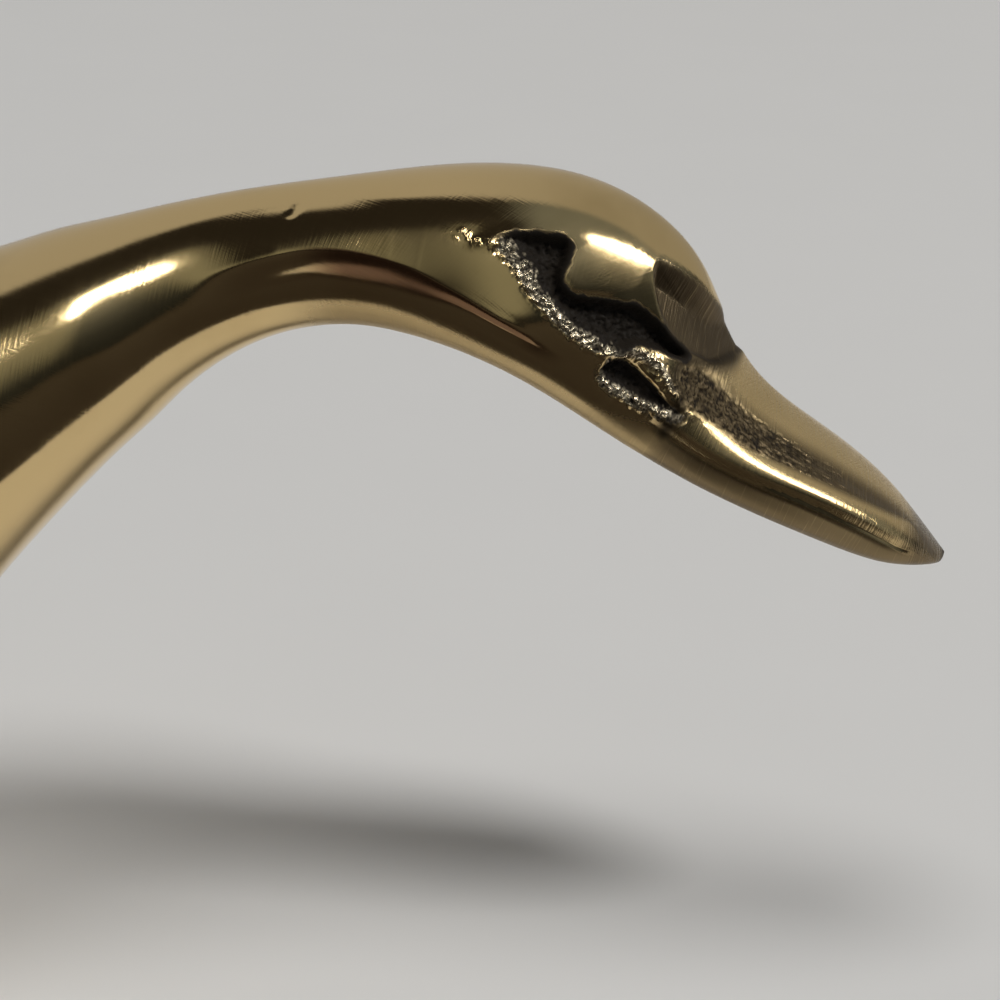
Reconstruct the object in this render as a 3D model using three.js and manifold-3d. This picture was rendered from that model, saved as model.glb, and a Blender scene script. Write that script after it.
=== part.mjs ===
// Polished brass duck, 160 mm from tail to bill. Two hollow half castings are brazed along the back,
// breast and vent, a solid head and neck is bolted on at the neck root, and a screwed plate and a felt
// pad close the belly. Millimetres, +Z up, +X to the bill, +Y to the bird's left, origin on the table.
import * as THREE from 'three';
import { mergeVertices } from 'three/addons/utils/BufferGeometryUtils.js';
import Module from 'manifold-3d';

// Driving dimensions: the bird
const BODY_LENGTH = 93.0; // tail tip to neck root
const BODY_WIDTH = 46.0;
const BODY_HEIGHT = 48.5; // keel to back at the belly, before the foot is cut flat
const NECK_LENGTH = 41.0; // neck root to crown
const NECK_LIFT = 13.5; // nape above neck root
const FACE_LENGTH = 26.0; // crown to bill tip
const FACE_DROP = 17.1;
const HEAD_WIDTH = 13.2; // across the cheeks
const HEAD_HEIGHT = 12.6;
const TAIL_ROUND = 7.0; // length of the tail's rounded end, seen from above
const BILL_ROUND = 5.0; // length of the bill's rounded end, seen from above
const TIP_BLUNT = 0.2; // flat left at both tips
const BODY_SIDES = 36;
const HEAD_SIDES = 28;
const CAVITY_SIDES = 24;

// The bird's lines, in hundredths of the sizes above. Each numbered station is a point of the spine in side
// view (x, z) with the skin's half width, its rise above and drop below the spine, the squareness of its
// upper and lower halves, where 2 is an ellipse, and the count of facets to the next station.
const BODY_LINES = [
  [-100, 82, 39, 2, 2, 2.0, 2.0, 6], // 0 tail tip
  [-90, 74, 50, 7, 10, 2.0, 2.0, 4], // 1 tail
  [-77, 64, 70, 18, 28, 2.0, 2.1, 4], // 2 rump
  [-61, 54, 89, 33, 48, 2.0, 2.5, 4], // 3 flank
  [-41, 48, 100, 45, 55, 2.0, 2.6, 4], // 4 belly
  [-21, 52, 90, 41, 52, 2.0, 2.5, 4], // 5 breast
  [-10, 61, 70, 33, 37, 2.0, 2.1, 4], // 6 crop
  [0, 71.5, 48.5, 24, 24.5, 2.0, 2.0, 4], // 7 neck root
];
const NECK_LINES = [
  [29, 51, 112, 57, 58.5, 2.0, 2.0, 4], // 8 neck
  [58.5, 90.5, 60, 38, 35.5, 2.0, 2.0, 4], // 9 throat
  [80.5, 100, 70, 38, 38.5, 2.0, 3.0, 5], // 10 nape
  [100, 77, 100, 66.5, 32, 1.9, 4.0, 5], // 11 crown
];
const FACE_LINES = [
  [23, 28.5, 93.5, 62.5, 24.5, 1.65, 4.0, 5], // 12 brow
  [42.5, 49.5, 98, 39, 20.5, 1.45, 4.0, 5], // 13 bill root
  [67.5, 71, 92.5, 26, 17.5, 1.7, 3.6, 4], // 14 bill
  [86.5, 90, 66.5, 17.5, 10.5, 1.9, 2.6, 5], // 15 bill nail
  [100, 100, 45, 2.5, 3, 2.0, 2.0, 1], // 16 bill tip
];

// Reliefs on the bird, drawn as [station, hundredths of the half girth from the crest to the keel]
const WING_HEIGHT = 1.2;
const WING = [
  [5.45, 32], [5.0, 21], [4.0, 15], [3.0, 17], [2.0, 22],
  [1.15, 34], [2.0, 37], [3.0, 42], [4.0, 51], [5.0, 44],
];
const FEATHER_DEPTH = 0.8;
const FEATHER_WIDTH = 1.1;
const FEATHERS = [
  [[3.4, 23], [2.6, 24], [1.7, 29]],
  [[3.8, 30], [2.9, 29], [2.0, 32]],
  [[4.1, 36], [3.2, 36], [2.4, 34]],
];
const EYE_HEIGHT = 0.3;
const EYE = [
  [10.96, 39], [10.95, 33], [11.02, 26], [11.2, 21.5], [11.45, 20.5],
  [11.56, 25], [11.57, 31], [11.3, 39], [11.12, 42],
];
const LORE_DEPTH = 0.45;
const LORE = [
  [11.5, 17], [11.8, 12], [12.14, 8], [12.5, 7], [12.75, 10],
  [12.6, 20], [12.36, 27], [12.12, 31], [11.84, 31], [11.62, 26],
];
const EYE_PIT_DEPTH = 0.9;
const EYE_PIT = [
  [10.56, 34], [10.7, 30], [10.92, 28], [10.97, 34], [11.0, 40], [11.14, 42], [11.4, 37], [11.62, 33],
  [11.97, 32], [12.22, 30], [12.15, 34], [11.76, 41], [11.6, 50], [11.3, 52], [10.95, 48], [10.72, 40.5],
];
const GAPE_PIT_DEPTH = 0.8;
const GAPE_PIT = [
  [11.64, 55], [11.72, 48.5], [11.96, 47], [12.3, 47.5],
  [12.51, 46.5], [12.44, 50], [12.1, 55.5], [11.76, 58],
];
const CREASE_DEPTH = 0.35; // cove between cheek and jaw
const CREASE_WIDTH = 0.9;
const CREASE = [[9.2, 39.5], [9.6, 40], [10.0, 45.5], [10.43, 53], [10.8, 57], [11.2, 58.5], [11.55, 59]];
const MOUTH_DEPTH = 0.4;
const MOUTH_WIDTH = 0.5;
const MOUTH = [[12.4, 56], [12.7, 53], [13.1, 50.5], [13.6, 48], [14.2, 46.5], [14.9, 46]];

// Driving dimensions: the castings and what holds them together
const SEAT_GAP = 0.3;
const WALL = 3.0;
const CAVITY_TAIL = 2.1; // station where the solid tail ends and the hollow begins
const NECK_WEB = 9.0; // thickness of the solid wall behind the neck joint
const SPIGOT_RADIUS = 6.0;
const SPIGOT_LENGTH = 3.0;
const STUD_RADIUS = 2.5;
const STUD_IN_NECK = 10.0;
const STUD_SPARE = 1.5; // thread left proud of the nut
const WASHER_RADIUS = 6.0;
const WASHER_THICK = 1.0;
const NUT_ACROSS = 8.0;
const NUT_SIDES = 6;
const NUT_THICK = 4.0;
const DOWEL_RADIUS = 1.5;
const DOWEL_LENGTH = 10.0;
const NECK_DOWEL_BACK = 5.5; // from the neck joint to the two neck dowels
const NECK_DOWEL_PITCH = 15.0;
const TAIL_DOWEL = 1.5; // station of the tail dowel
const SEAM_WIDTH = 1.8;
const SEAM_DEPTH = 1.2;
const SEAM_TAIL = 1.4; // station where the seams stop short of the tail
const FOOT_STATION = 4.1; // station over the middle of the foot
const PLATE_LENGTH = 38.0;
const PLATE_WIDTH = 20.0;
const PLATE_CORNER = 6.0;
const PLATE_THICK = 2.0;
const FELT_LAP = 3.0; // felt beyond the plate at its ends
const FELT_SIDE_LAP = 4.5;
const FELT_THICK = 1.5;
const FLOOR_THICK = 5.0; // casting left above the plate for the screws
const HATCH_LENGTH = 20.0; // opening in that floor, behind the plate
const HATCH_WIDTH = 8.0;
const HATCH_CORNER = 2.0;
const SCREW_INSET = 4.5; // from the plate's edges
const SCREW_RADIUS = 1.5;
const SCREW_HEAD_RADIUS = 2.7;
const SCREW_TAPER_HEIGHT = 1.2;
const SCREW_EDGE_HEIGHT = 0.2; // straight edge of the countersunk head
const SCREW_LENGTH = 6.0;
const REACH = 400.0; // longer than the bird, for cutting blocks
const ROUND_SIDES = 16;
const CURVE_STEPS = 2; // points between two marks of a relief
const GIRTH_STEPS = 180; // steps for measuring round half the skin
const CORNER_STEPS = 5;
const FELT_STEPS = 28;

// Materials
const BRASS = { color: 0xb3975a, roughness: 0.18, metalness: 1.0 };
const BRAZE = { color: 0xc0a566, roughness: 0.25, metalness: 1.0 };
const SHEET_BRASS = { color: 0xa38a4c, roughness: 0.4, metalness: 1.0 };
const STEEL = { color: 0x9a9c9e, roughness: 0.35, metalness: 1.0 };
const FELT = { color: 0x24402f, roughness: 0.95, metalness: 0.0 };

// The spine and the skin

// Natural cubic spline through values at knots, as a draughtsman's batten bends.
function batten(knots, values) {
  const last = knots.length - 1;
  const bend = new Array(last + 1).fill(0);
  const carry = new Array(last + 1).fill(0);
  for (let i = 1; i < last; i += 1) {
    const before = knots[i] - knots[i - 1];
    const after = knots[i + 1] - knots[i];
    const pull = 6 * ((values[i + 1] - values[i]) / after - (values[i] - values[i - 1]) / before);
    const pivot = 2 * (before + after) - before * carry[i - 1];
    carry[i] = after / pivot;
    bend[i] = (pull - before * bend[i - 1]) / pivot;
  }
  for (let i = last - 1; i > 0; i -= 1) {
    bend[i] -= carry[i] * bend[i + 1];
  }
  return (at) => {
    let i = 0;
    while (i < last - 1 && at > knots[i + 1]) {
      i += 1;
    }
    const span = knots[i + 1] - knots[i];
    const ahead = knots[i + 1] - at;
    const behind = at - knots[i];
    const curved = (bend[i] * ahead ** 3 + bend[i + 1] * behind ** 3) / (6 * span);
    const start = (values[i] / span - (bend[i] * span) / 6) * ahead;
    const end = (values[i + 1] / span - (bend[i + 1] * span) / 6) * behind;
    return curved + start + end;
  };
}

// Stations in millimetres from a table of lines, from a zone's origin and its sizes.
function stationsOf(lines, zone) {
  return lines.map(([x, z, half, rise, drop, crest, keel, facets]) => ({
    x: zone.x + (x / 100) * zone.length,
    z: zone.z + (z / 100) * zone.lift,
    half: (half / 100) * (zone.width / 2),
    rise: (rise / 100) * zone.height,
    drop: (drop / 100) * zone.height,
    crest,
    keel,
    facets,
  }));
}

const BODY = { x: 0, z: 0, length: BODY_LENGTH, lift: BODY_HEIGHT, width: BODY_WIDTH, height: BODY_HEIGHT };
const BODY_STATIONS = stationsOf(BODY_LINES, BODY);
const ROOT = BODY_STATIONS.at(-1);
const HEAD = { width: HEAD_WIDTH, height: HEAD_HEIGHT };
const NECK = { ...HEAD, x: ROOT.x, z: ROOT.z, length: NECK_LENGTH, lift: NECK_LIFT };
const NECK_STATIONS = stationsOf(NECK_LINES, NECK);
const CROWN = NECK_STATIONS.at(-1);
const FACE = { ...HEAD, x: CROWN.x, z: CROWN.z, length: FACE_LENGTH, lift: -FACE_DROP };
const STATIONS = [...BODY_STATIONS, ...NECK_STATIONS, ...stationsOf(FACE_LINES, FACE)];
const KNOTS = [0];
for (let i = 1; i < STATIONS.length; i += 1) {
  KNOTS.push(KNOTS[i - 1] + Math.hypot(STATIONS[i].x - STATIONS[i - 1].x, STATIONS[i].z - STATIONS[i - 1].z));
}
const LAST_STATION = STATIONS.length - 1;
const SPINE_LENGTH = KNOTS[LAST_STATION];
const LINES = {};
for (const key of ['x', 'z', 'half', 'rise', 'drop', 'crest', 'keel']) {
  LINES[key] = batten(KNOTS, STATIONS.map((station) => station[key]));
}

// Distance along the spine of a station, which may be a fraction such as 11.5.
function spineAt(station) {
  const i = Math.min(Math.floor(station), LAST_STATION - 1);
  return KNOTS[i] + (station - i) * (KNOTS[i + 1] - KNOTS[i]);
}

// Share of the full width left where an end is rounded in plan.
function endRounding(distance, length) {
  const inside = Math.min(Math.max(1 - distance / length, 0), 1);
  return Math.sqrt(1 - inside * inside);
}

// The spine's point and direction, and the section's sizes, at a distance along the spine.
function sectionAt(distance) {
  const section = {};
  for (const key of Object.keys(LINES)) {
    section[key] = LINES[key](distance);
  }
  const step = 0.05;
  const dx = LINES.x(distance + step) - LINES.x(distance - step);
  const dz = LINES.z(distance + step) - LINES.z(distance - step);
  section.along = new THREE.Vector3(dx, 0, dz).normalize();
  section.half *= endRounding(distance, TAIL_ROUND) * endRounding(SPINE_LENGTH - distance, BILL_ROUND);
  return section;
}

// A point of the skin, grown outwards by grow; turn 0 is the top and a quarter turn the bird's right.
function skinPoint(section, turn, grow) {
  const across = Math.sin(turn);
  const up = Math.cos(turn);
  const power = 2 / (up >= 0 ? section.crest : section.keel);
  const tall = (up >= 0 ? section.rise : section.drop) + grow;
  const height = tall * Math.sign(up) * Math.abs(up) ** power;
  const side = -(section.half + grow) * Math.sign(across) * Math.abs(across) ** power;
  return new THREE.Vector3(
    section.x - section.along.z * height,
    side,
    section.z + section.along.x * height,
  );
}

// Ring places between two distances along the spine: every facet of the stations, and both ends.
function placesBetween(from, to) {
  const places = [from];
  STATIONS.slice(0, LAST_STATION).forEach((station, i) => {
    for (let facet = 0; facet < station.facets; facet += 1) {
      const place = spineAt(i + facet / station.facets);
      if (place > from + TIP_BLUNT && place < to - TIP_BLUNT) {
        places.push(place);
      }
    }
  });
  return [...places, to];
}

// Closed surface through rings of equally many points, with flat ends.
function skinRings(rings) {
  const sides = rings[0].length;
  const index = [];
  for (let ring = 0; ring < rings.length - 1; ring += 1) {
    for (let side = 0; side < sides; side += 1) {
      const a = ring * sides + side;
      const b = ring * sides + ((side + 1) % sides);
      index.push(a, b, a + sides, b, b + sides, a + sides);
    }
  }
  const tip = (rings.length - 1) * sides;
  for (let side = 1; side < sides - 1; side += 1) {
    index.push(0, side + 1, side, tip, tip + side, tip + side + 1);
  }
  const position = rings.flat().flatMap((point) => point.toArray());
  const geometry = new THREE.BufferGeometry();
  geometry.setAttribute('position', new THREE.Float32BufferAttribute(position, 3));
  geometry.setIndex(index);
  return geometry;
}

// The bird's skin between two distances along the spine, grown outwards by grow.
function loft(from, to, grow, sides) {
  return skinRings(placesBetween(from, to).map((place) => {
    const section = sectionAt(place);
    return Array.from({ length: sides }, (_, side) => skinPoint(section, (2 * Math.PI * side) / sides, grow));
  }));
}

// Bar that follows the skin's middle line over the back (turn 0) or under the belly (half a turn).
function seamBar(turn, from, to, halfWidth, outside, inside) {
  return skinRings(placesBetween(from, to).map((place) => {
    const section = sectionAt(place);
    const corners = [[outside, halfWidth], [outside, -halfWidth], [inside, -halfWidth], [inside, halfWidth]];
    const ring = corners.map(([grow, side]) => skinPoint(section, turn, grow).setY(side));
    return turn > 0 ? ring.reverse() : ring;
  }));
}

// Solids: joining and cutting
const wasm = await Module();
wasm.setup();

function solid(geometry) {
  const bare = geometry.clone();
  bare.deleteAttribute('normal');
  bare.deleteAttribute('uv');
  const merged = mergeVertices(bare);
  const corners = merged.getIndex().array;
  const triVerts = [];
  for (let i = 0; i < corners.length; i += 3) {
    const [a, b, c] = corners.slice(i, i + 3);
    if (a !== b && b !== c && c !== a) {
      triVerts.push(a, b, c);
    }
  }
  return new wasm.Manifold(new wasm.Mesh({
    numProp: 3,
    vertProperties: new Float32Array(merged.getAttribute('position').array),
    triVerts: new Uint32Array(triVerts),
  }));
}

function geometryOf(manifold) {
  const { vertProperties, triVerts } = manifold.getMesh();
  const geometry = new THREE.BufferGeometry();
  geometry.setAttribute('position', new THREE.Float32BufferAttribute(vertProperties, 3));
  geometry.setIndex(Array.from(triVerts));
  geometry.computeVertexNormals();
  return geometry;
}

// Block between two corners.
function block(low, high) {
  const geometry = new THREE.BoxGeometry(high[0] - low[0], high[1] - low[1], high[2] - low[2]);
  geometry.translate((low[0] + high[0]) / 2, (low[1] + high[1]) / 2, (low[2] + high[2]) / 2);
  return solid(geometry);
}

// Everything below a level.
function below(level) {
  return block([-REACH, -REACH, -REACH], [REACH, REACH, level]);
}

// Round bar on the Z axis between two heights.
function bar(radius, low, high) {
  const geometry = new THREE.CylinderGeometry(radius, radius, high - low, ROUND_SIDES);
  return geometry.rotateX(Math.PI / 2).translate(0, 0, (low + high) / 2);
}

// Ring on the Z axis with a polygon outside and a round bore.
function collar(radius, sides, bore, low, high) {
  const rim = Array.from({ length: sides }, (_, i) => {
    const angle = (2 * Math.PI * i) / sides;
    return new THREE.Vector2(radius * Math.cos(angle), radius * Math.sin(angle));
  });
  const shape = new THREE.Shape(rim);
  shape.holes.push(new THREE.Path().absarc(0, 0, bore, 0, 2 * Math.PI, true));
  const options = { depth: high - low, bevelEnabled: false, curveSegments: ROUND_SIDES };
  return new THREE.ExtrudeGeometry(shape, options).translate(0, 0, low);
}

// Reliefs on the skin

// Turn from the crest at which a share of the half girth is run through.
function turnAt(section, share) {
  const turns = Array.from({ length: GIRTH_STEPS + 1 }, (_, i) => (Math.PI * i) / GIRTH_STEPS);
  const points = turns.map((turn) => skinPoint(section, turn, 0));
  const runs = [0];
  for (let i = 1; i <= GIRTH_STEPS; i += 1) {
    runs.push(runs[i - 1] + points[i].distanceTo(points[i - 1]));
  }
  const goal = share * runs[GIRTH_STEPS];
  const next = Math.max(runs.findIndex((run) => run >= goal), 1);
  const part = (goal - runs[next - 1]) / (runs[next] - runs[next - 1]);
  return turns[next - 1] + part * (turns[next] - turns[next - 1]);
}

// Where a [station, hundredths of the half girth] mark lies in side view.
function sideView([station, hundredths]) {
  const section = sectionAt(spineAt(station));
  const point = skinPoint(section, turnAt(section, hundredths / 100), 0);
  return new THREE.Vector3(point.x, point.z, 0);
}

// Smooth closed outline through marks.
function outline(marks) {
  const curve = new THREE.CatmullRomCurve3(marks.map(sideView), true);
  return curve.getPoints(marks.length * CURVE_STEPS).slice(0, -1);
}

// Outline of a line of a given width through marks, pointed at both ends.
function ribbon(marks, width) {
  const curve = new THREE.CatmullRomCurve3(marks.map(sideView));
  const steps = marks.length * CURVE_STEPS;
  const upper = [];
  const lower = [];
  for (let i = 1; i < steps; i += 1) {
    const point = curve.getPoint(i / steps);
    const along = curve.getTangent(i / steps);
    const aside = new THREE.Vector3(-along.y, along.x, 0).multiplyScalar(width / 2);
    upper.push(point.clone().add(aside));
    lower.unshift(point.clone().sub(aside));
  }
  return [curve.getPoint(0), ...upper, curve.getPoint(1), ...lower];
}

// Prism through both sides of the bird.
function prism(points) {
  const shape = new THREE.Shape(points.map((point) => new THREE.Vector2(point.x, point.y)));
  const geometry = new THREE.ExtrudeGeometry(shape, { depth: REACH, bevelEnabled: false });
  return solid(geometry.translate(0, 0, -REACH / 2).rotateX(Math.PI / 2));
}

// Raises the skin inside an outline to the level of another skin.
function raise(skin, level, points) {
  return skin.add(prism(points).intersect(level));
}

// Sinks the skin inside an outline to the level of another skin.
function sink(skin, level, points) {
  return skin.subtract(prism(points).subtract(level));
}

// Places shared by the pieces
const TAIL_END = TIP_BLUNT;
const BILL_END = SPINE_LENGTH - TIP_BLUNT;
const JOINT_AT = spineAt(BODY_LINES.length - 1);
const JOINT = sectionAt(JOINT_AT);
const FOOT_X = sectionAt(spineAt(FOOT_STATION)).x;
const FOOT = FELT_THICK + SEAT_GAP;
const PLATE_SEAT = FOOT + PLATE_THICK + SEAT_GAP;
const FLOOR_TOP = PLATE_SEAT + FLOOR_THICK;
const WASHER_TOP = -NECK_WEB - SEAT_GAP;
const NUT_TOP = WASHER_TOP - WASHER_THICK - SEAT_GAP;
const STUD_END = NUT_TOP - NUT_THICK - STUD_SPARE;

// The neck joint's own frame: its origin on the spine, its +Z along the spine to the head.
const neckFrame = new THREE.Group();
neckFrame.position.set(JOINT.x, 0, JOINT.z);
neckFrame.rotation.y = Math.atan2(JOINT.along.x, JOINT.along.z);
neckFrame.updateMatrix();

function atNeck(geometry) {
  return solid(geometry.applyMatrix4(neckFrame.matrix));
}

// Place behind the neck joint, up from its axis.
function behindNeck(back, up) {
  return new THREE.Vector3(-up, 0, -back).applyMatrix4(neckFrame.matrix);
}

const tailDowelSection = sectionAt(spineAt(TAIL_DOWEL));
const DOWELS = {
  tail_dowel: new THREE.Vector3(tailDowelSection.x, 0, tailDowelSection.z),
  upper_neck_dowel: behindNeck(NECK_DOWEL_BACK, NECK_DOWEL_PITCH / 2),
  lower_neck_dowel: behindNeck(NECK_DOWEL_BACK, -NECK_DOWEL_PITCH / 2),
};

const SCREWS = [];
for (const end of [-1, 1]) {
  for (const side of [-1, 1]) {
    const x = FOOT_X + end * (PLATE_LENGTH / 2 - SCREW_INSET);
    const y = side * (PLATE_WIDTH / 2 - SCREW_INSET);
    SCREWS.push(new THREE.Vector3(x, y, FOOT));
  }
}

// Pin across the bird.
function pin(radius, length, place) {
  return new THREE.CylinderGeometry(radius, radius, length, ROUND_SIDES).translate(...place);
}

// Countersunk screw standing on its head, with room round it for a hole, whose mouth reaches lower.
function screw(room, mouth) {
  const shoulder = SEAT_GAP + SCREW_EDGE_HEIGHT;
  const profile = [
    new THREE.Vector2(0, mouth),
    new THREE.Vector2(SCREW_HEAD_RADIUS + room, mouth),
    new THREE.Vector2(SCREW_HEAD_RADIUS + room, shoulder),
    new THREE.Vector2(SCREW_RADIUS + room, shoulder + SCREW_TAPER_HEIGHT),
    new THREE.Vector2(SCREW_RADIUS + room, SCREW_LENGTH + room),
    new THREE.Vector2(0, SCREW_LENGTH + room),
  ];
  return new THREE.LatheGeometry(profile, ROUND_SIDES).rotateX(Math.PI / 2);
}

// Rounded rectangle about the middle of the foot, between two heights.
function roundedSlab(length, width, corner, low, high) {
  const shape = new THREE.Shape();
  const x = length / 2 - corner;
  const y = width / 2 - corner;
  shape.absarc(x, y, corner, 0, Math.PI / 2);
  shape.absarc(-x, y, corner, Math.PI / 2, Math.PI);
  shape.absarc(-x, -y, corner, Math.PI, 1.5 * Math.PI);
  shape.absarc(x, -y, corner, 1.5 * Math.PI, 2 * Math.PI);
  const options = { depth: high - low, bevelEnabled: false, curveSegments: CORNER_STEPS };
  return new THREE.ExtrudeGeometry(shape, options).translate(FOOT_X, 0, low);
}

// Body castings: one hollow bird, cut into a right and a left half
function winged() {
  const level = (grow) => solid(loft(TAIL_END, JOINT_AT, grow, BODY_SIDES));
  const body = raise(level(0), level(WING_HEIGHT), outline(WING));
  const grooveLevel = level(WING_HEIGHT - FEATHER_DEPTH);
  return FEATHERS.reduce((skin, marks) => sink(skin, grooveLevel, ribbon(marks, FEATHER_WIDTH)), body);
}

function cavity() {
  const hollow = solid(loft(spineAt(CAVITY_TAIL), JOINT_AT, -WALL, CAVITY_SIDES));
  const web = atNeck(new THREE.BoxGeometry(REACH, REACH, REACH).translate(0, 0, REACH / 2 - NECK_WEB));
  return hollow.subtract(below(FLOOR_TOP)).subtract(web);
}

function neckHoles() {
  const socket = atNeck(bar(SPIGOT_RADIUS + SEAT_GAP, -SPIGOT_LENGTH - SEAT_GAP, SPIGOT_LENGTH));
  return socket.add(atNeck(bar(STUD_RADIUS + SEAT_GAP, STUD_END, SPIGOT_LENGTH)));
}

function seamGrooves() {
  const size = [SEAM_WIDTH / 2, SEAM_DEPTH, -SEAM_DEPTH];
  const ends = [spineAt(SEAM_TAIL), JOINT_AT + SEAM_DEPTH];
  return solid(seamBar(0, ...ends, ...size)).add(solid(seamBar(Math.PI, ...ends, ...size)));
}

function bellyHoles() {
  const rebateLength = PLATE_LENGTH + 2 * SEAT_GAP;
  const rebateWidth = PLATE_WIDTH + 2 * SEAT_GAP;
  const rebate = roundedSlab(rebateLength, rebateWidth, PLATE_CORNER + SEAT_GAP, 0, PLATE_SEAT);
  const hatch = roundedSlab(HATCH_LENGTH, HATCH_WIDTH, HATCH_CORNER, 0, FLOOR_TOP + SEAT_GAP);
  return solid(rebate).add(solid(hatch));
}

function screwHoles() {
  return SCREWS.map((place) => solid(screw(SEAT_GAP, -FOOT).translate(...place)));
}

function bodyShells() {
  const dowelHoles = Object.values(DOWELS).map((place) => {
    return solid(pin(DOWEL_RADIUS + SEAT_GAP, DOWEL_LENGTH + 2 * SEAT_GAP, place));
  });
  const openings = [below(FOOT), cavity(), neckHoles(), seamGrooves(), bellyHoles()];
  const cuts = [...openings, ...dowelHoles, ...screwHoles()];
  const bird = cuts.reduce((body, cut) => body.subtract(cut), winged());
  const parting = SEAT_GAP / 2;
  return {
    right_body_shell: bird.intersect(block([-REACH, -REACH, -REACH], [REACH, -parting, REACH])),
    left_body_shell: bird.intersect(block([-REACH, parting, -REACH], [REACH, REACH, REACH])),
  };
}

// Brazed seams: filler run into the grooves between the two halves
function seams() {
  const size = [SEAM_WIDTH / 2 - SEAT_GAP, 0, SEAT_GAP - SEAM_DEPTH];
  const ends = [spineAt(SEAM_TAIL) + SEAT_GAP, JOINT_AT];
  const under = solid(seamBar(Math.PI, ...ends, ...size)).subtract(below(FOOT));
  const ahead = block([FOOT_X, -REACH, -REACH], [REACH, REACH, REACH]);
  return {
    back_seam_braze: solid(seamBar(0, ...ends, ...size)),
    breast_seam_braze: under.intersect(ahead),
    vent_seam_braze: under.subtract(ahead),
  };
}

// Head and neck: one solid casting with a spigot for the body's socket
function headAndNeck() {
  const start = JOINT_AT + SEAT_GAP;
  const level = (grow) => solid(loft(start, BILL_END, grow, HEAD_SIDES));
  let head = raise(level(0), level(EYE_HEIGHT), outline(EYE));
  head = sink(head, level(-LORE_DEPTH), outline(LORE));
  head = sink(head, level(-CREASE_DEPTH), ribbon(CREASE, CREASE_WIDTH));
  head = sink(head, level(-EYE_PIT_DEPTH), outline(EYE_PIT));
  head = sink(head, level(-GAPE_PIT_DEPTH), outline(GAPE_PIT));
  head = sink(head, level(-MOUTH_DEPTH), ribbon(MOUTH, MOUTH_WIDTH));
  const spigot = atNeck(bar(SPIGOT_RADIUS, -SPIGOT_LENGTH, SPIGOT_LENGTH));
  const studHole = atNeck(bar(STUD_RADIUS + SEAT_GAP, STUD_END, STUD_IN_NECK + SEAT_GAP));
  return head.add(spigot).subtract(studHole);
}

// Belly plate and felt
function basePlate() {
  const plate = solid(roundedSlab(PLATE_LENGTH, PLATE_WIDTH, PLATE_CORNER, FOOT, FOOT + PLATE_THICK));
  return screwHoles().reduce((rest, hole) => rest.subtract(hole), plate);
}

function feltPad() {
  const shape = new THREE.Shape();
  shape.absellipse(0, 0, PLATE_LENGTH / 2 + FELT_LAP, PLATE_WIDTH / 2 + FELT_SIDE_LAP, 0, 2 * Math.PI);
  const options = { depth: FELT_THICK, bevelEnabled: false, curveSegments: FELT_STEPS };
  return new THREE.ExtrudeGeometry(shape, options).translate(FOOT_X, 0, 0);
}

// The assembly
const duck = new THREE.Group();

function addPiece(parent, name, geometry, finish) {
  const piece = new THREE.Mesh(geometry, new THREE.MeshStandardMaterial(finish));
  piece.name = name;
  parent.add(piece);
  return piece;
}

for (const [name, shell] of Object.entries(bodyShells())) {
  addPiece(duck, name, geometryOf(shell), BRASS);
}
for (const [name, seam] of Object.entries(seams())) {
  addPiece(duck, name, geometryOf(seam), BRAZE);
}
addPiece(duck, 'head_and_neck', geometryOf(headAndNeck()), BRASS);

const boltBore = STUD_RADIUS + SEAT_GAP;
const nutCorner = NUT_ACROSS / 2 / Math.cos(Math.PI / NUT_SIDES);
addPiece(neckFrame, 'neck_stud', bar(STUD_RADIUS, STUD_END, STUD_IN_NECK), STEEL);
addPiece(
  neckFrame,
  'neck_washer',
  collar(WASHER_RADIUS, ROUND_SIDES, boltBore, WASHER_TOP - WASHER_THICK, WASHER_TOP),
  STEEL,
);
addPiece(neckFrame, 'neck_nut', collar(nutCorner, NUT_SIDES, boltBore, NUT_TOP - NUT_THICK, NUT_TOP), STEEL);
duck.add(neckFrame);

for (const [name, place] of Object.entries(DOWELS)) {
  addPiece(duck, name, pin(DOWEL_RADIUS, DOWEL_LENGTH, new THREE.Vector3()), STEEL).position.copy(place);
}

addPiece(duck, 'base_plate', geometryOf(basePlate()), SHEET_BRASS);
SCREWS.forEach((place, i) => {
  addPiece(duck, `base_screw_${i + 1}`, screw(0, SEAT_GAP), STEEL).position.copy(place);
});
addPiece(duck, 'felt_pad', feltPad(), FELT);

// The origin lies under the middle of the bird's length
const box = new THREE.Box3().setFromObject(duck);
duck.position.x = -(box.min.x + box.max.x) / 2;

export default duck;
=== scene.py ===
import itertools
import math

import bpy
import numpy as np
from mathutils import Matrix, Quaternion, Vector, noise


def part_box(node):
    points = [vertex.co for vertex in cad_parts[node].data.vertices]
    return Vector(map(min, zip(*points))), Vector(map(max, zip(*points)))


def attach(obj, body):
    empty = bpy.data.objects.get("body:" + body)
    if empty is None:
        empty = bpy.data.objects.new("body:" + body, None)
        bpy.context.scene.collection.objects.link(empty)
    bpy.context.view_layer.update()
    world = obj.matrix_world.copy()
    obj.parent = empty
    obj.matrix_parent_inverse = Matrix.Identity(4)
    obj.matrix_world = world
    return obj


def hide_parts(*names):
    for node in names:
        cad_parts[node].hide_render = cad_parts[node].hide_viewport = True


# A brass duck: castings and felt over the CAD frame, on a pale floor in soft light
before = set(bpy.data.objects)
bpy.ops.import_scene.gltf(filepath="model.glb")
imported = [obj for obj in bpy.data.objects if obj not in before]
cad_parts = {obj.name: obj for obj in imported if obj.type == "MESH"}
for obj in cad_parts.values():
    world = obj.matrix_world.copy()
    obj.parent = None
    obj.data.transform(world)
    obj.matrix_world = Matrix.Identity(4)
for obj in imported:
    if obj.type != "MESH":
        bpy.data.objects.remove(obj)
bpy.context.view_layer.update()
MM = 0.001

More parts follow.
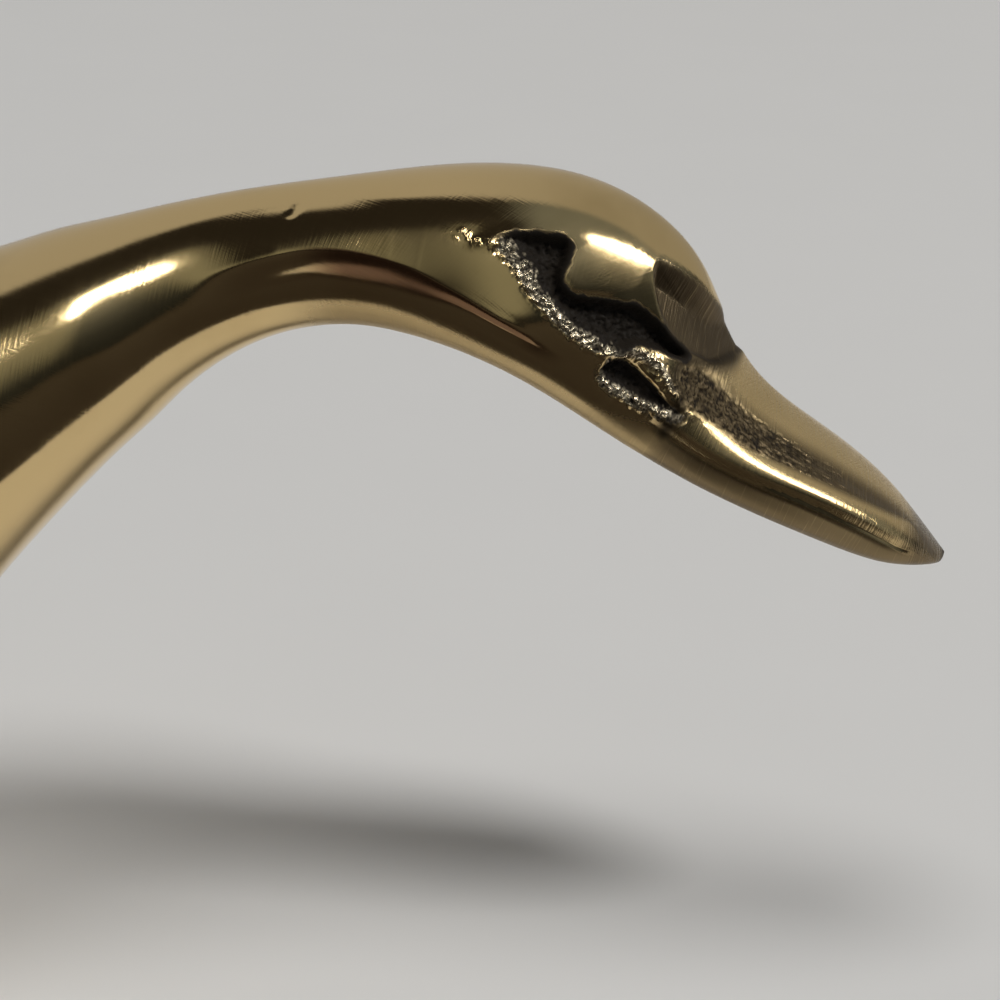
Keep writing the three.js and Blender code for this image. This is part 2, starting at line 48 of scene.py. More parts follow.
# The bird's lines, as in the castings: sizes in millimetres, tables in hundredths of them
BODY_LENGTH = 93.0
BODY_WIDTH = 46.0
BODY_HEIGHT = 48.5
NECK_LENGTH = 41.0
NECK_LIFT = 13.5
FACE_LENGTH = 26.0
FACE_DROP = 17.1
HEAD_WIDTH = 13.2
HEAD_HEIGHT = 12.6
TAIL_ROUND = 7.0
BILL_ROUND = 5.0

# Columns: place in side view, half width, rise and drop from the spine, squareness above and below it
X, Z, HALF, RISE, DROP, SQUARE_ABOVE, SQUARE_BELOW = range(7)
BODY_LINES = [
    [-100, 82, 39, 2, 2, 2.0, 2.0],
    [-90, 74, 50, 7, 10, 2.0, 2.0],
    [-77, 64, 70, 18, 28, 2.0, 2.1],
    [-61, 54, 89, 33, 48, 2.0, 2.5],
    [-41, 48, 100, 45, 55, 2.0, 2.6],
    [-21, 52, 90, 41, 52, 2.0, 2.5],
    [-10, 61, 70, 33, 37, 2.0, 2.1],
    [0, 71.5, 48.5, 24, 24.5, 2.0, 2.0],
]
NECK_LINES = [
    [29, 51, 112, 57, 58.5, 2.0, 2.0],
    [58.5, 90.5, 60, 38, 35.5, 2.0, 2.0],
    [80.5, 100, 70, 38, 38.5, 2.0, 3.0],
    [100, 77, 100, 66.5, 32, 1.9, 4.0],
]
FACE_LINES = [
    [23, 28.5, 93.5, 62.5, 24.5, 1.65, 4.0],
    [42.5, 49.5, 98, 39, 20.5, 1.45, 4.0],
    [67.5, 71, 92.5, 26, 17.5, 1.7, 3.6],
    [86.5, 90, 66.5, 17.5, 10.5, 1.9, 2.6],
    [100, 100, 45, 2.5, 3, 2.0, 2.0],
]
NECK_JOINT = len(BODY_LINES) - 1
FOOT_STATION = 4.1
SEAM_STATION = 1.4

# Reliefs, as [station, hundredths of the half girth from the crest]
WING = [
    [5.45, 32], [5.0, 21], [4.0, 15], [3.0, 17], [2.0, 22],
    [1.15, 34], [2.0, 37], [3.0, 42], [4.0, 51], [5.0, 44],
]
FEATHERS = [
    [[3.4, 23], [2.6, 24], [1.7, 29]],
    [[3.8, 30], [2.9, 29], [2.0, 32]],
    [[4.1, 36], [3.2, 36], [2.4, 34]],
]
EYE = [
    [10.96, 39], [10.95, 33], [11.02, 26], [11.2, 21.5], [11.45, 20.5],
    [11.48, 24.5], [11.48, 30.5], [11.3, 38.5], [11.12, 42],
]
EYE_FOOT = [[11.0, 27], [10.95, 33], [10.96, 39], [11.12, 42], [11.3, 38.5], [11.48, 31]]
EYE_PIT = [
    [10.56, 34], [10.7, 30], [10.92, 28], [10.97, 34], [11.0, 40], [11.14, 42], [11.4, 37], [11.62, 33],
    [11.97, 32], [12.22, 30], [12.15, 34], [11.76, 41], [11.6, 50], [11.3, 52], [10.95, 48], [10.72, 40.5],
]
EYE_BANK = [[10.58, 37], [10.71, 40.5], [10.95, 48], [11.3, 52.5], [11.62, 51]]
GAPE_PIT = [
    [11.64, 55], [11.72, 48.5], [11.96, 47], [12.3, 47.5],
    [12.51, 46.5], [12.44, 50], [12.1, 55.5], [11.76, 58],
]
GAPE_BANK = [[11.6, 56], [11.76, 58.5], [12.1, 56], [12.44, 50.5], [12.55, 46]]
GAPE_RIDGE = [
    [11.54, 52], [11.64, 48], [11.81, 43.5], [12.03, 42], [12.2, 43.5], [12.51, 43.5], [12.9, 43.5],
]
LORE = [
    [11.5, 18], [11.8, 12], [12.14, 6], [12.46, -1], [12.66, -3], [12.86, 0], [12.6, 20],
    [12.36, 27], [12.12, 31], [11.84, 31], [11.62, 26],
]
LORE_EDGE = [[11.4, 18.5], [11.55, 16.5], [11.8, 12], [12.14, 6], [12.46, -1]]
CREASE = [
    [8.6, 40], [9.2, 39.5], [9.6, 40], [10.0, 45.5],
    [10.43, 53], [10.8, 57], [11.2, 58.5], [11.55, 59],
]
MOUTH = [
    [12.2, 57], [12.4, 55], [12.7, 53], [13.1, 50.5],
    [13.6, 48], [14.2, 46.5], [14.9, 46], [15.3, 46],
]
BILL_ROOT = [
    [12.87, -3], [12.86, 2], [12.6, 20], [12.37, 28],
    [12.2, 34], [12.22, 40], [12.4, 44], [12.44, 55],
]
BILL_RIDGE = [[11.9, 47], [12.43, 51], [12.92, 48.2], [13.48, 46.5], [14.13, 45], [14.72, 42], [15.2, 39]]
BILL_BAND = [[12.1, 36], [12.78, 30], [13.4, 28], [14.37, 27], [15.58, 29]]
SPECKS = [[10.2, 32], [10.35, 33.5], [10.48, 35.5], [10.6, 36.5]]
PIT_RIM = [[10.4, 35], [10.56, 33.5], [10.7, 29.7], [10.93, 27.5]]
NICK = [[9.47, 13], [9.42, 19], [9.34, 26]]
EYE_SCUFF = [[11.22, 33], [11.3, 34], [11.38, 33]]

# Castings and felt
SEAT_GAP = 0.3
FELT_THICK = 1.5
FOOT = FELT_THICK + SEAT_GAP
SEAM_WIDTH = 1.2


# The spine and the skin
SLOPE_STEP = 0.05  # distance along the spine over which its direction is taken


def stations_of(lines, x, z, length, lift, width, height):
    """Rows of stations in millimetres from a table of lines."""
    table = np.array(lines, float)
    table[:, :SQUARE_ABOVE] *= np.array([length, lift, width / 2, height, height]) / 100
    table[:, X] += x
    table[:, Z] += z
    return table


def batten(knots, values):
    """Natural cubic spline through rows of values at knots."""
    gaps = np.diff(knots)[:, None]
    slopes = np.diff(values, axis=0) / gaps
    last = len(knots) - 1
    system = np.eye(last + 1)
    pull = np.zeros_like(values)
    for i in range(1, last):
        before, after = gaps[i - 1, 0], gaps[i, 0]
        system[i, i - 1:i + 2] = before, 2 * (before + after), after
        pull[i] = 6 * (slopes[i] - slopes[i - 1])
    bend = np.linalg.solve(system, pull)

    def at(places):
        i = np.clip(np.searchsorted(knots, places, side="right") - 1, 0, last - 1)
        ahead = (knots[i + 1] - places)[..., None]
        behind = (places - knots[i])[..., None]
        gap = gaps[i]
        curved = (bend[i] * ahead ** 3 + bend[i + 1] * behind ** 3) / (6 * gap)
        start = (values[i] / gap - bend[i] * gap / 6) * ahead
        end = (values[i + 1] / gap - bend[i + 1] * gap / 6) * behind
        return curved + start + end

    return at


body_rows = stations_of(BODY_LINES, 0, 0, BODY_LENGTH, BODY_HEIGHT, BODY_WIDTH, BODY_HEIGHT)
root_x, root_z = body_rows[-1, :HALF]
neck_rows = stations_of(NECK_LINES, root_x, root_z, NECK_LENGTH, NECK_LIFT, HEAD_WIDTH, HEAD_HEIGHT)
crown_x, crown_z = neck_rows[-1, :HALF]
face_rows = stations_of(FACE_LINES, crown_x, crown_z, FACE_LENGTH, -FACE_DROP, HEAD_WIDTH, HEAD_HEIGHT)
STATIONS = np.concatenate([body_rows, neck_rows, face_rows])
KNOTS = np.concatenate([[0], np.cumsum(np.linalg.norm(np.diff(STATIONS[:, :HALF], axis=0), axis=1))])
SPINE_LENGTH = KNOTS[-1]
LINES = batten(KNOTS, STATIONS)


def spine_at(station):
    """Distance along the spine of a station, which may be a fraction."""
    return np.interp(station, np.arange(len(KNOTS)), KNOTS)


def end_rounding(distance, length):
    """Share of the full width left where an end is rounded in plan."""
    inside_end = np.clip(1 - distance / length, 0, 1)
    return np.sqrt(1 - inside_end ** 2)


def skin(along, turn):
    """Points of the skin in millimetres; turn 0 is the top and a quarter turn the bird's right."""
    along, turn = np.broadcast_arrays(along, turn)
    line = LINES(along)
    ahead = LINES(along + SLOPE_STEP) - LINES(along - SLOPE_STEP)
    run = np.hypot(ahead[..., X], ahead[..., Z])
    across, up = np.sin(turn), np.cos(turn)
    power = 2 / np.where(up >= 0, line[..., SQUARE_ABOVE], line[..., SQUARE_BELOW])
    tall = np.where(up >= 0, line[..., RISE], line[..., DROP])
    height = tall * np.sign(up) * np.abs(up) ** power
    half = line[..., HALF] * end_rounding(along, TAIL_ROUND) * end_rounding(SPINE_LENGTH - along, BILL_ROUND)
    side = -half * np.sign(across) * np.abs(across) ** power
    x = line[..., X] - ahead[..., Z] / run * height
    z = line[..., Z] + ahead[..., X] / run * height
    return np.stack([x, side, z], -1)


FOOT_X = float(LINES(spine_at(np.array(FOOT_STATION)))[X])
felt_low, felt_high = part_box("felt_pad")
SHIFT = (felt_low.x + felt_high.x) / 2 / MM - FOOT_X


# Measuring on the skin
QUARTER = math.pi / 2
FINE_STEPS = 120
LINE_STEPS = 8
TINY = 1e-12


def eased(start, end, count):
    """Numbers from start to end, closest at both ends."""
    return start + (end - start) * (1 - np.cos(np.linspace(0, math.pi, count))) / 2


FINE_TURNS = np.concatenate([eased(0, QUARTER, FINE_STEPS), eased(QUARTER, math.pi, FINE_STEPS)[1:]])


def girth_runs(places):
    """Length around the skin from the crest to each fine turn, at places along the spine."""
    rings = skin(places[:, None], FINE_TURNS[None, :])
    steps = np.linalg.norm(np.diff(rings, axis=1), axis=-1)
    return np.concatenate([np.zeros((len(places), 1)), np.cumsum(steps, axis=1)], 1)


def smooth(low, high, value):
    """Eases from nothing at low to one at high."""
    share = np.clip((value - low) / (high - low), 0, 1)
    return share * share * (3 - 2 * share)


def hump(distance, width):
    """One on a line, falling to nothing on both sides."""
    return np.exp(-(distance / width) ** 2)


def swell(distance, width, power):
    """Rises from nothing at a width before a line to one on it."""
    return np.clip(1 + distance / width, 0, 1) ** power


def faded(share, start, end):
    """One along a line, easing to nothing over a share of it at each end."""
    return smooth(0.0, start, share) * smooth(1.0, 1.0 - end, share)


def highest(fields):
    """The largest of several fields, point by point."""
    return np.maximum.reduce(fields)


def layered(areas, shares):
    """The strongest of several areas, each taken by its own share."""
    return highest([share * areas[name] for name, share in shares.items()])


def chart(marks):
    """[station, hundredths of the half girth] marks as millimetres along and around the skin."""
    marks = np.array(marks, float)
    along = spine_at(marks[:, 0])
    return np.stack([along, marks[:, 1] / 100 * girth_runs(along)[:, -1]], -1)


def bent(points, closed):
    """Smooth line through points."""
    if closed:
        around = np.concatenate([points[-1:], points, points[:2]])
    else:
        around = np.concatenate([2 * points[:1] - points[1:2], points, 2 * points[-1:] - points[-2:-1]])
    before, start, end, after = (around[i:len(around) - 3 + i, None] for i in range(4))
    t = (np.arange(LINE_STEPS) / LINE_STEPS)[None, :, None]
    line = start + 0.5 * t * (end - before + t * (2 * before - 5 * start + 4 * end - after
                              + t * (3 * (start - end) + after - before)))
    line = line.reshape(-1, 2)
    return line if closed else np.concatenate([line, points[-1:]])


def to_line(places, line, closed):
    """Distance to a line, the side that each place lies on, and the nearest point's share along the line."""
    start = line if closed else line[:-1]
    end = np.roll(line, -1, 0) if closed else line[1:]
    edge = end - start
    reach = places[:, None] - start
    share = np.clip((reach * edge).sum(-1) / (edge ** 2).sum(-1), 0, 1)
    gaps = np.linalg.norm(reach - share[..., None] * edge, axis=-1)
    near = gaps.argmin(1)
    rows = np.arange(len(places))
    if closed:
        px, py = places[:, :1], places[:, 1:]
        rising = (start[:, 1] > py) != (end[:, 1] > py)
        slope = edge[:, 0] / np.where(edge[:, 1] == 0, TINY, edge[:, 1])
        hits = rising & (px < slope * (py - start[:, 1]) + start[:, 0])
        side = np.where(hits.sum(1) % 2 == 1, 1.0, -1.0)
    else:
        side = np.sign(edge[near, 0] * reach[rows, near, 1] - edge[near, 1] * reach[rows, near, 0])
    return gaps[rows, near], side, (near + share[rows, near]) / len(start)


# Grains: how steeply they tilt, and the width of the cracks between them as a share of their size
GRAIN_TILT = 2.4
CRACK_WIDTH = 0.22
SCATTER_TURNS = np.array([
    [127.1, 311.7, 74.7], [269.5, 183.3, 246.1], [113.5, 271.9, 124.6], [419.2, 371.9, 97.3],
    [57.3, 207.4, 331.9], [391.6, 83.7, 151.2], [223.8, 139.4, 281.3],
])
SCATTER_SPREAD = 43758.5


def scattered(cells):
    """Seven numbers from 0 to 1 for each cell of space, the same on each run."""
    return np.modf(np.abs(np.sin(cells @ SCATTER_TURNS.T)) * SCATTER_SPREAD)[0]


class Sheet:
    """A grid of skin points with its chart, which reliefs are measured on."""

    def __init__(self, places, shares):
        """Shares of the half girth from the crest, negative on the bird's left."""
        self.shape = shares.shape
        runs = girth_runs(places)
        around = np.abs(shares) * runs[:, -1:]
        turns = np.array([np.interp(row, run, FINE_TURNS) for row, run in zip(around, runs)])
        along = np.broadcast_to(places[:, None], self.shape)
        self.points = skin(along, np.sign(shares) * turns)
        self.places = np.stack([along, around], -1).reshape(-1, 2)
        down = np.gradient(self.points, axis=1)
        ahead = np.gradient(self.points, axis=0)
        normal = np.cross(down, ahead)
        self.normal = normal / np.maximum(np.linalg.norm(normal, axis=-1, keepdims=True), TINY)

    def stations(self):
        """Station of each row of the grid."""
        found = np.interp(self.places[:, 0], KNOTS, np.arange(len(KNOTS)))
        return found.reshape(self.shape)

    def near(self, line, margin):
        low, high = line.min(0) - margin, line.max(0) + margin
        return ((self.places >= low) & (self.places <= high)).all(1)

    def inside(self, marks, margin=3.0):
        """Distance in from a closed outline, negative outside."""
        line = bent(chart(marks), True)
        close = self.near(line, margin)
        found = np.full(len(self.places), -margin)
        gap, side, _ = to_line(self.places[close], line, True)
        found[close] = gap * side
        return found.reshape(self.shape)

    def across(self, marks, margin=4.0):
        """Signed distance to an open line, positive on its right, and the share along the line."""
        line = bent(chart(marks), False)
        close = self.near(line, margin)
        found = np.full(len(self.places), margin)
        share = np.zeros(len(self.places))
        gap, side, along = to_line(self.places[close], line, False)
        found[close] = gap * side
        share[close] = along
        return found.reshape(self.shape), share.reshape(self.shape)

    def grains(self, size, where):
        """Angular grains of a size in millimetres, -1 to 1, and the cracks between them, inside a mask."""
        places = self.points[where] / size
        corner = np.floor(places)
        first = np.full(len(places), np.inf)
        second = first.copy()
        facet = np.zeros(len(places))
        for step in itertools.product((-1, 0, 1), repeat=3):
            cell = corner + step
            dice = scattered(cell)
            away = places - cell - dice[:, :3]
            gap = np.linalg.norm(away, axis=1)
            nearer = gap < first
            second = np.where(nearer, first, np.minimum(second, gap))
            first = np.where(nearer, gap, first)
            tilted = dice[:, 3] - 0.5 + GRAIN_TILT * (away * (dice[:, 4:7] - 0.5)).sum(1)
            facet = np.where(nearer, tilted, facet)
        height, crack = np.zeros(self.shape), np.zeros(self.shape)
        height[where] = np.clip(facet, -1, 1)
        crack[where] = 1 - smooth(0.0, CRACK_WIDTH, second - first)
        return height, crack

    def grain(self, size, seed):
        """Even noise from -1 to 1 with lumps of a size in millimetres."""
        shifted = self.points.reshape(-1, 3) / size + seed
        return np.array([noise.noise(p) for p in shifted.tolist()]).reshape(self.shape)


# Meshes
# The soot and tarnish paints also hold painted shade: the brass is darkened there in place of shade or a
# dark reflection
PAINTS = ("soot", "linish", "grit", "blush", "tarnish_and_shade", "satin")


def add_object(name, points, faces, material):
    """Object of a mesh in metres, with one material."""
    mesh = bpy.data.meshes.new(name)
    mesh.from_pydata(points, [], faces)
    mesh.materials.append(material)
    made = bpy.data.objects.new(name, mesh)
    bpy.context.scene.collection.objects.link(made)
    return made


def add_piece(name, points, faces, material, fields=None, chart_points=None):
    """Smooth piece of the bird from points in millimetres, with its paint and its chart."""
    piece = add_object(name, (points + [SHIFT, 0, 0]) * MM, faces, material)
    mesh = piece.data
    mesh.polygons.foreach_set("use_smooth", np.ones(len(mesh.polygons), bool))
    for key, values in (fields or {}).items():
        layer = mesh.attributes.new(key, "FLOAT", "POINT")
        layer.data.foreach_set("value", np.ascontiguousarray(values, np.float32).ravel())
    if chart_points is not None:
        corners = np.empty(len(mesh.loops), np.int32)
        mesh.loops.foreach_get("vertex_index", corners)
        layer = mesh.uv_layers.new(name="skin")
        layer.data.foreach_set("uv", np.ascontiguousarray(chart_points[corners], np.float32).ravel())
    mesh.validate()
    mesh.update()
    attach(piece, "root")
    return piece


def ring_faces(rows, columns):
    """Quads of a tube of rings, with its two ends closed."""
    index = np.arange(rows * columns).reshape(rows, columns)
    beside = np.roll(index, -1, 1)
    quads = np.stack([index[:-1], beside[:-1], beside[1:], index[1:]], -1).reshape(-1, 4)
    return quads.tolist() + [index[0, ::-1].tolist(), index[-1].tolist()]


def spaced(stretches):
    """Places along the spine: each stretch runs from a station to the next in steps of about a size."""
    places = []
    for start, end, step in stretches:
        start, end = spine_at(start), spine_at(end)
        places.append(np.linspace(start, end, max(2, round((end - start) / step)), endpoint=False))
    return np.concatenate(places)


# Shader nodes
MIX_SHARE, MIX_FIRST, MIX_SECOND, MIX_RESULT = 0, 6, 7, 2  # a mix node's sockets for colours


def feed(tree, socket, value):
    if isinstance(value, bpy.types.NodeSocket):
        tree.links.new(value, socket)
    else:
        socket.default_value = value


def node(tree, kind, settings=None, **sockets):
    made = tree.nodes.new("ShaderNode" + kind)
    for key, value in (settings or {}).items():
        setattr(made, key, value)
    for key, value in sockets.items():
        feed(tree, made.inputs[key.replace("_", " ")], value)
    return made


def math_node(tree, operation, first, second=0.0):
    made = tree.nodes.new("ShaderNodeMath")
    made.operation = operation
    feed(tree, made.inputs[0], first)
    feed(tree, made.inputs[1], second)
    return made.outputs[0]


def times(tree, first, second):
    return math_node(tree, "MULTIPLY", first, second)


def plus(tree, first, second):
    return math_node(tree, "ADD", first, second)


def mix_colour(tree, share, first, second):
    made = tree.nodes.new("ShaderNodeMix")
    made.data_type = "RGBA"
    feed(tree, made.inputs[MIX_SHARE], share)
    feed(tree, made.inputs[MIX_FIRST], first)
    feed(tree, made.inputs[MIX_SECOND], second)
    return made.outputs[MIX_RESULT]


def ranged(tree, value, span, to_span=(0.0, 1.0)):
    """Maps a span of values on to another."""
    made = node(tree, "MapRange", Value=value, From_Min=span[0], From_Max=span[1],
                To_Min=to_span[0], To_Max=to_span[1])
    return made.outputs[0]


def eased_range(tree, value, low, high):
    """Eases from nothing at low to one at high."""
    made = node(tree, "MapRange", {"interpolation_type": "SMOOTHSTEP"}, Value=value,
                From_Min=low, From_Max=high)
    return made.outputs[0]


def object_place(tree):
    return node(tree, "TexCoord").outputs["Object"]


def cloud_of(tree, place, scale, detail, distortion=0.0):
    """Noise with a scale in lumps per metre."""
    return node(tree, "TexNoise", Vector=place, Scale=scale, Detail=detail, Distortion=distortion).outputs[0]


def paint_of(tree, name):
    """Field of a piece's points."""
    return node(tree, "Attribute", {"attribute_name": name}).outputs["Fac"]


def streaks(tree, source, angle, fine, long, seed):
    """Fine parallel scratches over a chart in millimetres."""
    turned = node(tree, "Mapping", {"vector_type": "TEXTURE"}, Vector=source, Location=(seed, seed, 0),
                  Rotation=(0, 0, math.radians(angle)), Scale=(long, fine, 1))
    return cloud_of(tree, turned.outputs[0], scale=1.0, detail=3.0)


def new_material(name):
    material = bpy.data.materials.new(name)
    material.use_nodes = True
    tree = material.node_tree
    return material, tree, tree.nodes["Principled BSDF"]


def roughen(tree, shader, height, strength, distance):
    """Bump of a depth in metres."""
    bump = node(tree, "Bump", Height=height, Strength=strength, Distance=distance)
    feed(tree, shader.inputs["Normal"], bump.outputs[0])


def rgb(r, g, b):
    return (r, g, b, 1.0)


# Brass: colours
BRASS = rgb(0.78, 0.58, 0.29)
TARNISH = rgb(0.52, 0.36, 0.15)
# Near-black soot, which in the pits, their cracks and on the bill's flank is painted shade
SOOT_AND_SHADE = rgb(0.015, 0.012, 0.009)
COPPER = rgb(0.36, 0.15, 0.07)
# Dark brown of the tarnish paint, which on the bill's flank, the underside and the mandible is painted shade
# and darker reflection
DULL = rgb(0.11, 0.08, 0.048)
SANDED = rgb(0.80, 0.68, 0.48)
WORN_SHARE = 0.3
BLUSH_SHARE = 0.9

# Brass: scratches as angle in degrees, width and length in millimetres, and seed
POLISH_STROKES = 35.0, 0.09, 3.0, 0.0
CROSS_STROKES = -60.0, 0.12, 2.5, 7.0
BELT_STROKES = 0.14, 3.5, 3.0

# Brass: noise in lumps per metre, and spans of the noise and the paint that count
WORN_SCALE = 130.0
WORN_SPAN = 0.52, 0.72
PATCH_SCALE = 220.0
PATCH_SPAN = 0.42, 0.66
SAND_SCALE = 9000.0
BELT_SPAN = 0.58, 0.72
TARNISH_AND_SHADE_KEPT = 1.0, 0.75
SANDED_SPAN = 0.6, 0.9
STROKE_SPAN = 0.7, 1.3
BARE_SPAN = 1.0, 0.0
SOOT_AND_SHADE_HIDES = 0.7, 1.0

# Brass: what adds to its roughness, and depths of scratches and sand
STROKE_ROUGH = 0.06
LINISH_ROUGH = 0.10
SATIN_ROUGH = 0.25
SOOT_AND_SHADE_ROUGH = 0.4
STROKE_DEPTH = 0.04, 0.30
SAND_DEPTH = 2.5
BRASS_BUMP = 0.5, 0.00004
BRASS_SPECULAR = 0.1


def brass_material(name, gloss, belt_turn, belt_depth, stretch):
    """Cast brass with scratches; stretch draws the highlights out along the bird."""
    material, tree, shader = new_material(name)
    source = node(tree, "UVMap", {"uv_map": "skin"}).outputs[0]
    place = object_place(tree)
    soot, linish, grit, blush, tarnish_and_shade, satin = (paint_of(tree, paint) for paint in PAINTS)
    belt = streaks(tree, source, belt_turn, *BELT_STROKES)
    strokes = plus(tree, streaks(tree, source, *POLISH_STROKES), streaks(tree, source, *CROSS_STROKES))

    worn = ranged(tree, cloud_of(tree, place, WORN_SCALE, detail=4.0), WORN_SPAN)
    colour = mix_colour(tree, times(tree, worn, WORN_SHARE), BRASS, TARNISH)
    colour = mix_colour(tree, times(tree, blush, BLUSH_SHARE), colour, COPPER)
    # Tarnish and painted shade: dark brown, kept off where the belt scratches run
    dull = times(tree, tarnish_and_shade, ranged(tree, belt, BELT_SPAN, TARNISH_AND_SHADE_KEPT))
    colour = mix_colour(tree, dull, colour, DULL)
    colour = mix_colour(tree, ranged(tree, grit, SANDED_SPAN), colour, SANDED)
    # Soot, partly painted shade, turns the colour near black
    feed(tree, shader.inputs["Base Color"], mix_colour(tree, soot, colour, SOOT_AND_SHADE))

    rough = ranged(tree, strokes, STROKE_SPAN, (gloss, gloss + STROKE_ROUGH))
    for paint, amount in ((linish, LINISH_ROUGH), (satin, SATIN_ROUGH), (soot, SOOT_AND_SHADE_ROUGH)):
        rough = plus(tree, rough, times(tree, paint, amount))
    feed(tree, shader.inputs["Roughness"], rough)

    patch = ranged(tree, cloud_of(tree, place, PATCH_SCALE, detail=2.0), PATCH_SPAN, STROKE_DEPTH)
    height = plus(tree, times(tree, strokes, patch), times(tree, belt, times(tree, linish, belt_depth)))
    sand = cloud_of(tree, place, SAND_SCALE, detail=2.0)
    height = plus(tree, height, times(tree, sand, times(tree, grit, SAND_DEPTH)))
    roughen(tree, shader, height, *BRASS_BUMP)

    feed(tree, shader.inputs["Metallic"], ranged(tree, soot, SOOT_AND_SHADE_HIDES, BARE_SPAN))
    shader.inputs["Specular IOR Level"].default_value = BRASS_SPECULAR
    if stretch > 0:
        shader.inputs["Anisotropic"].default_value = stretch
        along = node(tree, "Tangent", {"direction_type": "UV_MAP", "uv_map": "skin"})
        feed(tree, shader.inputs["Tangent"], along.outputs[0])
    return material


# Plain metals: darkest grain as a share of the colour, and how much the grain changes the roughness
GRAIN_SHADE = 0.8
GRAIN_SPAN = 0.3, 0.7
GRAIN_ROUGH = 0.06
GRAIN_BUMP = 0.3, 0.00003


def plain_metal(name, colour, roughness, scale):
    """Satin metal with fine even grain."""
    material, tree, shader = new_material(name)
    grain = cloud_of(tree, object_place(tree), scale, detail=3.0)
    shade = rgb(*(GRAIN_SHADE * part for part in colour[:3]))
    span = roughness - GRAIN_ROUGH, roughness + GRAIN_ROUGH
    feed(tree, shader.inputs["Base Color"], mix_colour(tree, grain, shade, colour))
    feed(tree, shader.inputs["Roughness"], ranged(tree, grain, GRAIN_SPAN, span))
    roughen(tree, shader, grain, *GRAIN_BUMP)
    shader.inputs["Metallic"].default_value = 1.0
    return material


# Felt: colours, and noise in lumps per metre
FELT_DARK = rgb(0.010, 0.030, 0.017)
FELT_PALE = rgb(0.034, 0.075, 0.046)
FIBRE_SCALE = 2600.0
FIBRE_CURL = 1.5
FIBRE_SHARE = 0.7
MOTTLE_SCALE = 180.0
FELT_SPAN = 0.35, 0.65
FELT_BUMP = 0.8, 0.0002
FELT_ROUGH = 0.95
FELT_SHEEN = 0.4


def felt_material():
    material, tree, shader = new_material("pressed_felt")
    place = object_place(tree)
    fibre = cloud_of(tree, place, FIBRE_SCALE, detail=5.0, distortion=FIBRE_CURL)
    mottle = cloud_of(tree, place, MOTTLE_SCALE, detail=2.0)
    share = plus(tree, times(tree, fibre, FIBRE_SHARE), times(tree, mottle, 1 - FIBRE_SHARE))
    colour = mix_colour(tree, ranged(tree, share, FELT_SPAN), FELT_DARK, FELT_PALE)
    feed(tree, shader.inputs["Base Color"], colour)
    roughen(tree, shader, fibre, *FELT_BUMP)
    shader.inputs["Roughness"].default_value = FELT_ROUGH
    shader.inputs["Sheen Weight"].default_value = FELT_SHEEN
    return material


polished = brass_material("polished_cast_brass", gloss=0.07, belt_turn=78.0, belt_depth=1.6, stretch=0.0)
linished = brass_material("linished_cast_brass", gloss=0.06, belt_turn=82.0, belt_depth=4.0, stretch=0.3)
braze = plain_metal("linished_braze", rgb(0.80, 0.66, 0.36), roughness=0.28, scale=1500.0)
sheet_brass = plain_metal("satin_sheet_brass", rgb(0.74, 0.58, 0.28), roughness=0.35, scale=900.0)
steel = plain_metal("zinc_plated_steel", rgb(0.56, 0.57, 0.58), roughness=0.3, scale=1200.0)
felt = felt_material()


# Head and neck
JOINT_AT = spine_at(NECK_JOINT)
TIP_BLUNT = 0.03
WHOLE_HEAD = 30.0  # reach of a line that is measured over the whole head

# Rows of points: from a station to the next, and the step in millimetres
HEAD_ROWS = [
    (NECK_JOINT, 7.7, 0.9), (7.7, 9.2, 0.45), (9.2, 9.6, 0.2), (9.6, 9.95, 0.28),
    (9.95, 10.15, 0.16), (10.15, 12.65, 0.092), (12.65, 15.8, 0.145), (15.8, 16, 0.06),
]

# Columns of points: from a share of the half girth to the next, and how many
HEAD_COLUMNS = [(0, 0.19, 15), (0.19, 0.60, 78), (0.60, 1, 15)]


def head_shares():
    """Shares of the girth from under the chin over the crest and back, closest at the eye and the pits."""
    stretches = [np.linspace(start, end, count, endpoint=end == 1) for start, end, count in HEAD_COLUMNS]
    half = np.concatenate(stretches)
    return np.concatenate([-half[:0:-1], half[:-1]])


def blurred(field, passes):
    """A ring grid's field with its edges rounded."""
    for _ in range(passes):
        field = (np.roll(field, 1, 1) + 2 * field + np.roll(field, -1, 1)) / 4
        edged = np.pad(field, ((1, 1), (0, 0)), mode="edge")
        field = (edged[:-2] + 2 * field + edged[2:]) / 4
    return field


# Cheek and jaw: stations where they change, and sizes in millimetres
CHEEK_COMES = 8.7, 9.25
CHEEK_GOES = 11.45, 10.8
CHEEK_LOWERS = 9.6, 10.4
CHEEK_HEIGHT = 0.60
CHEEK_LOWERED = 0.25
CHEEK_REACH = 3.0
STEP_NARROWS = 9.6, 10.8
STEP_WIDTH = 2.0
STEP_NARROWED = 1.5
STEP_TOP = -0.05, 0.05
STEP_FOOT = 0.7, 1.0  # shares of the step's width
BLUSH_COMES = 9.3, 9.7
BLUSH_GOES = 11.4, 10.9
SWELL_POWER = 1.6


def cheek_and_jaw(grid):
    """The cheek stands out to a sharp edge and steps back to the jaw; returns height and the step's face."""
    below, _ = grid.across(CREASE)
    station = grid.stations()
    level = CHEEK_HEIGHT - CHEEK_LOWERED * smooth(*CHEEK_LOWERS, station)
    level = level * smooth(*CHEEK_COMES, station) * smooth(*CHEEK_GOES, station)
    down = below / (STEP_WIDTH - STEP_NARROWED * smooth(*STEP_NARROWS, station))
    form = np.where(below <= 0, swell(below, CHEEK_REACH, SWELL_POWER), 1 - smooth(0.0, 1.0, down))
    face = smooth(*STEP_TOP, below) * (1 - smooth(*STEP_FOOT, down))
    return level * form, face * smooth(*BLUSH_COMES, station) * smooth(*BLUSH_GOES, station)


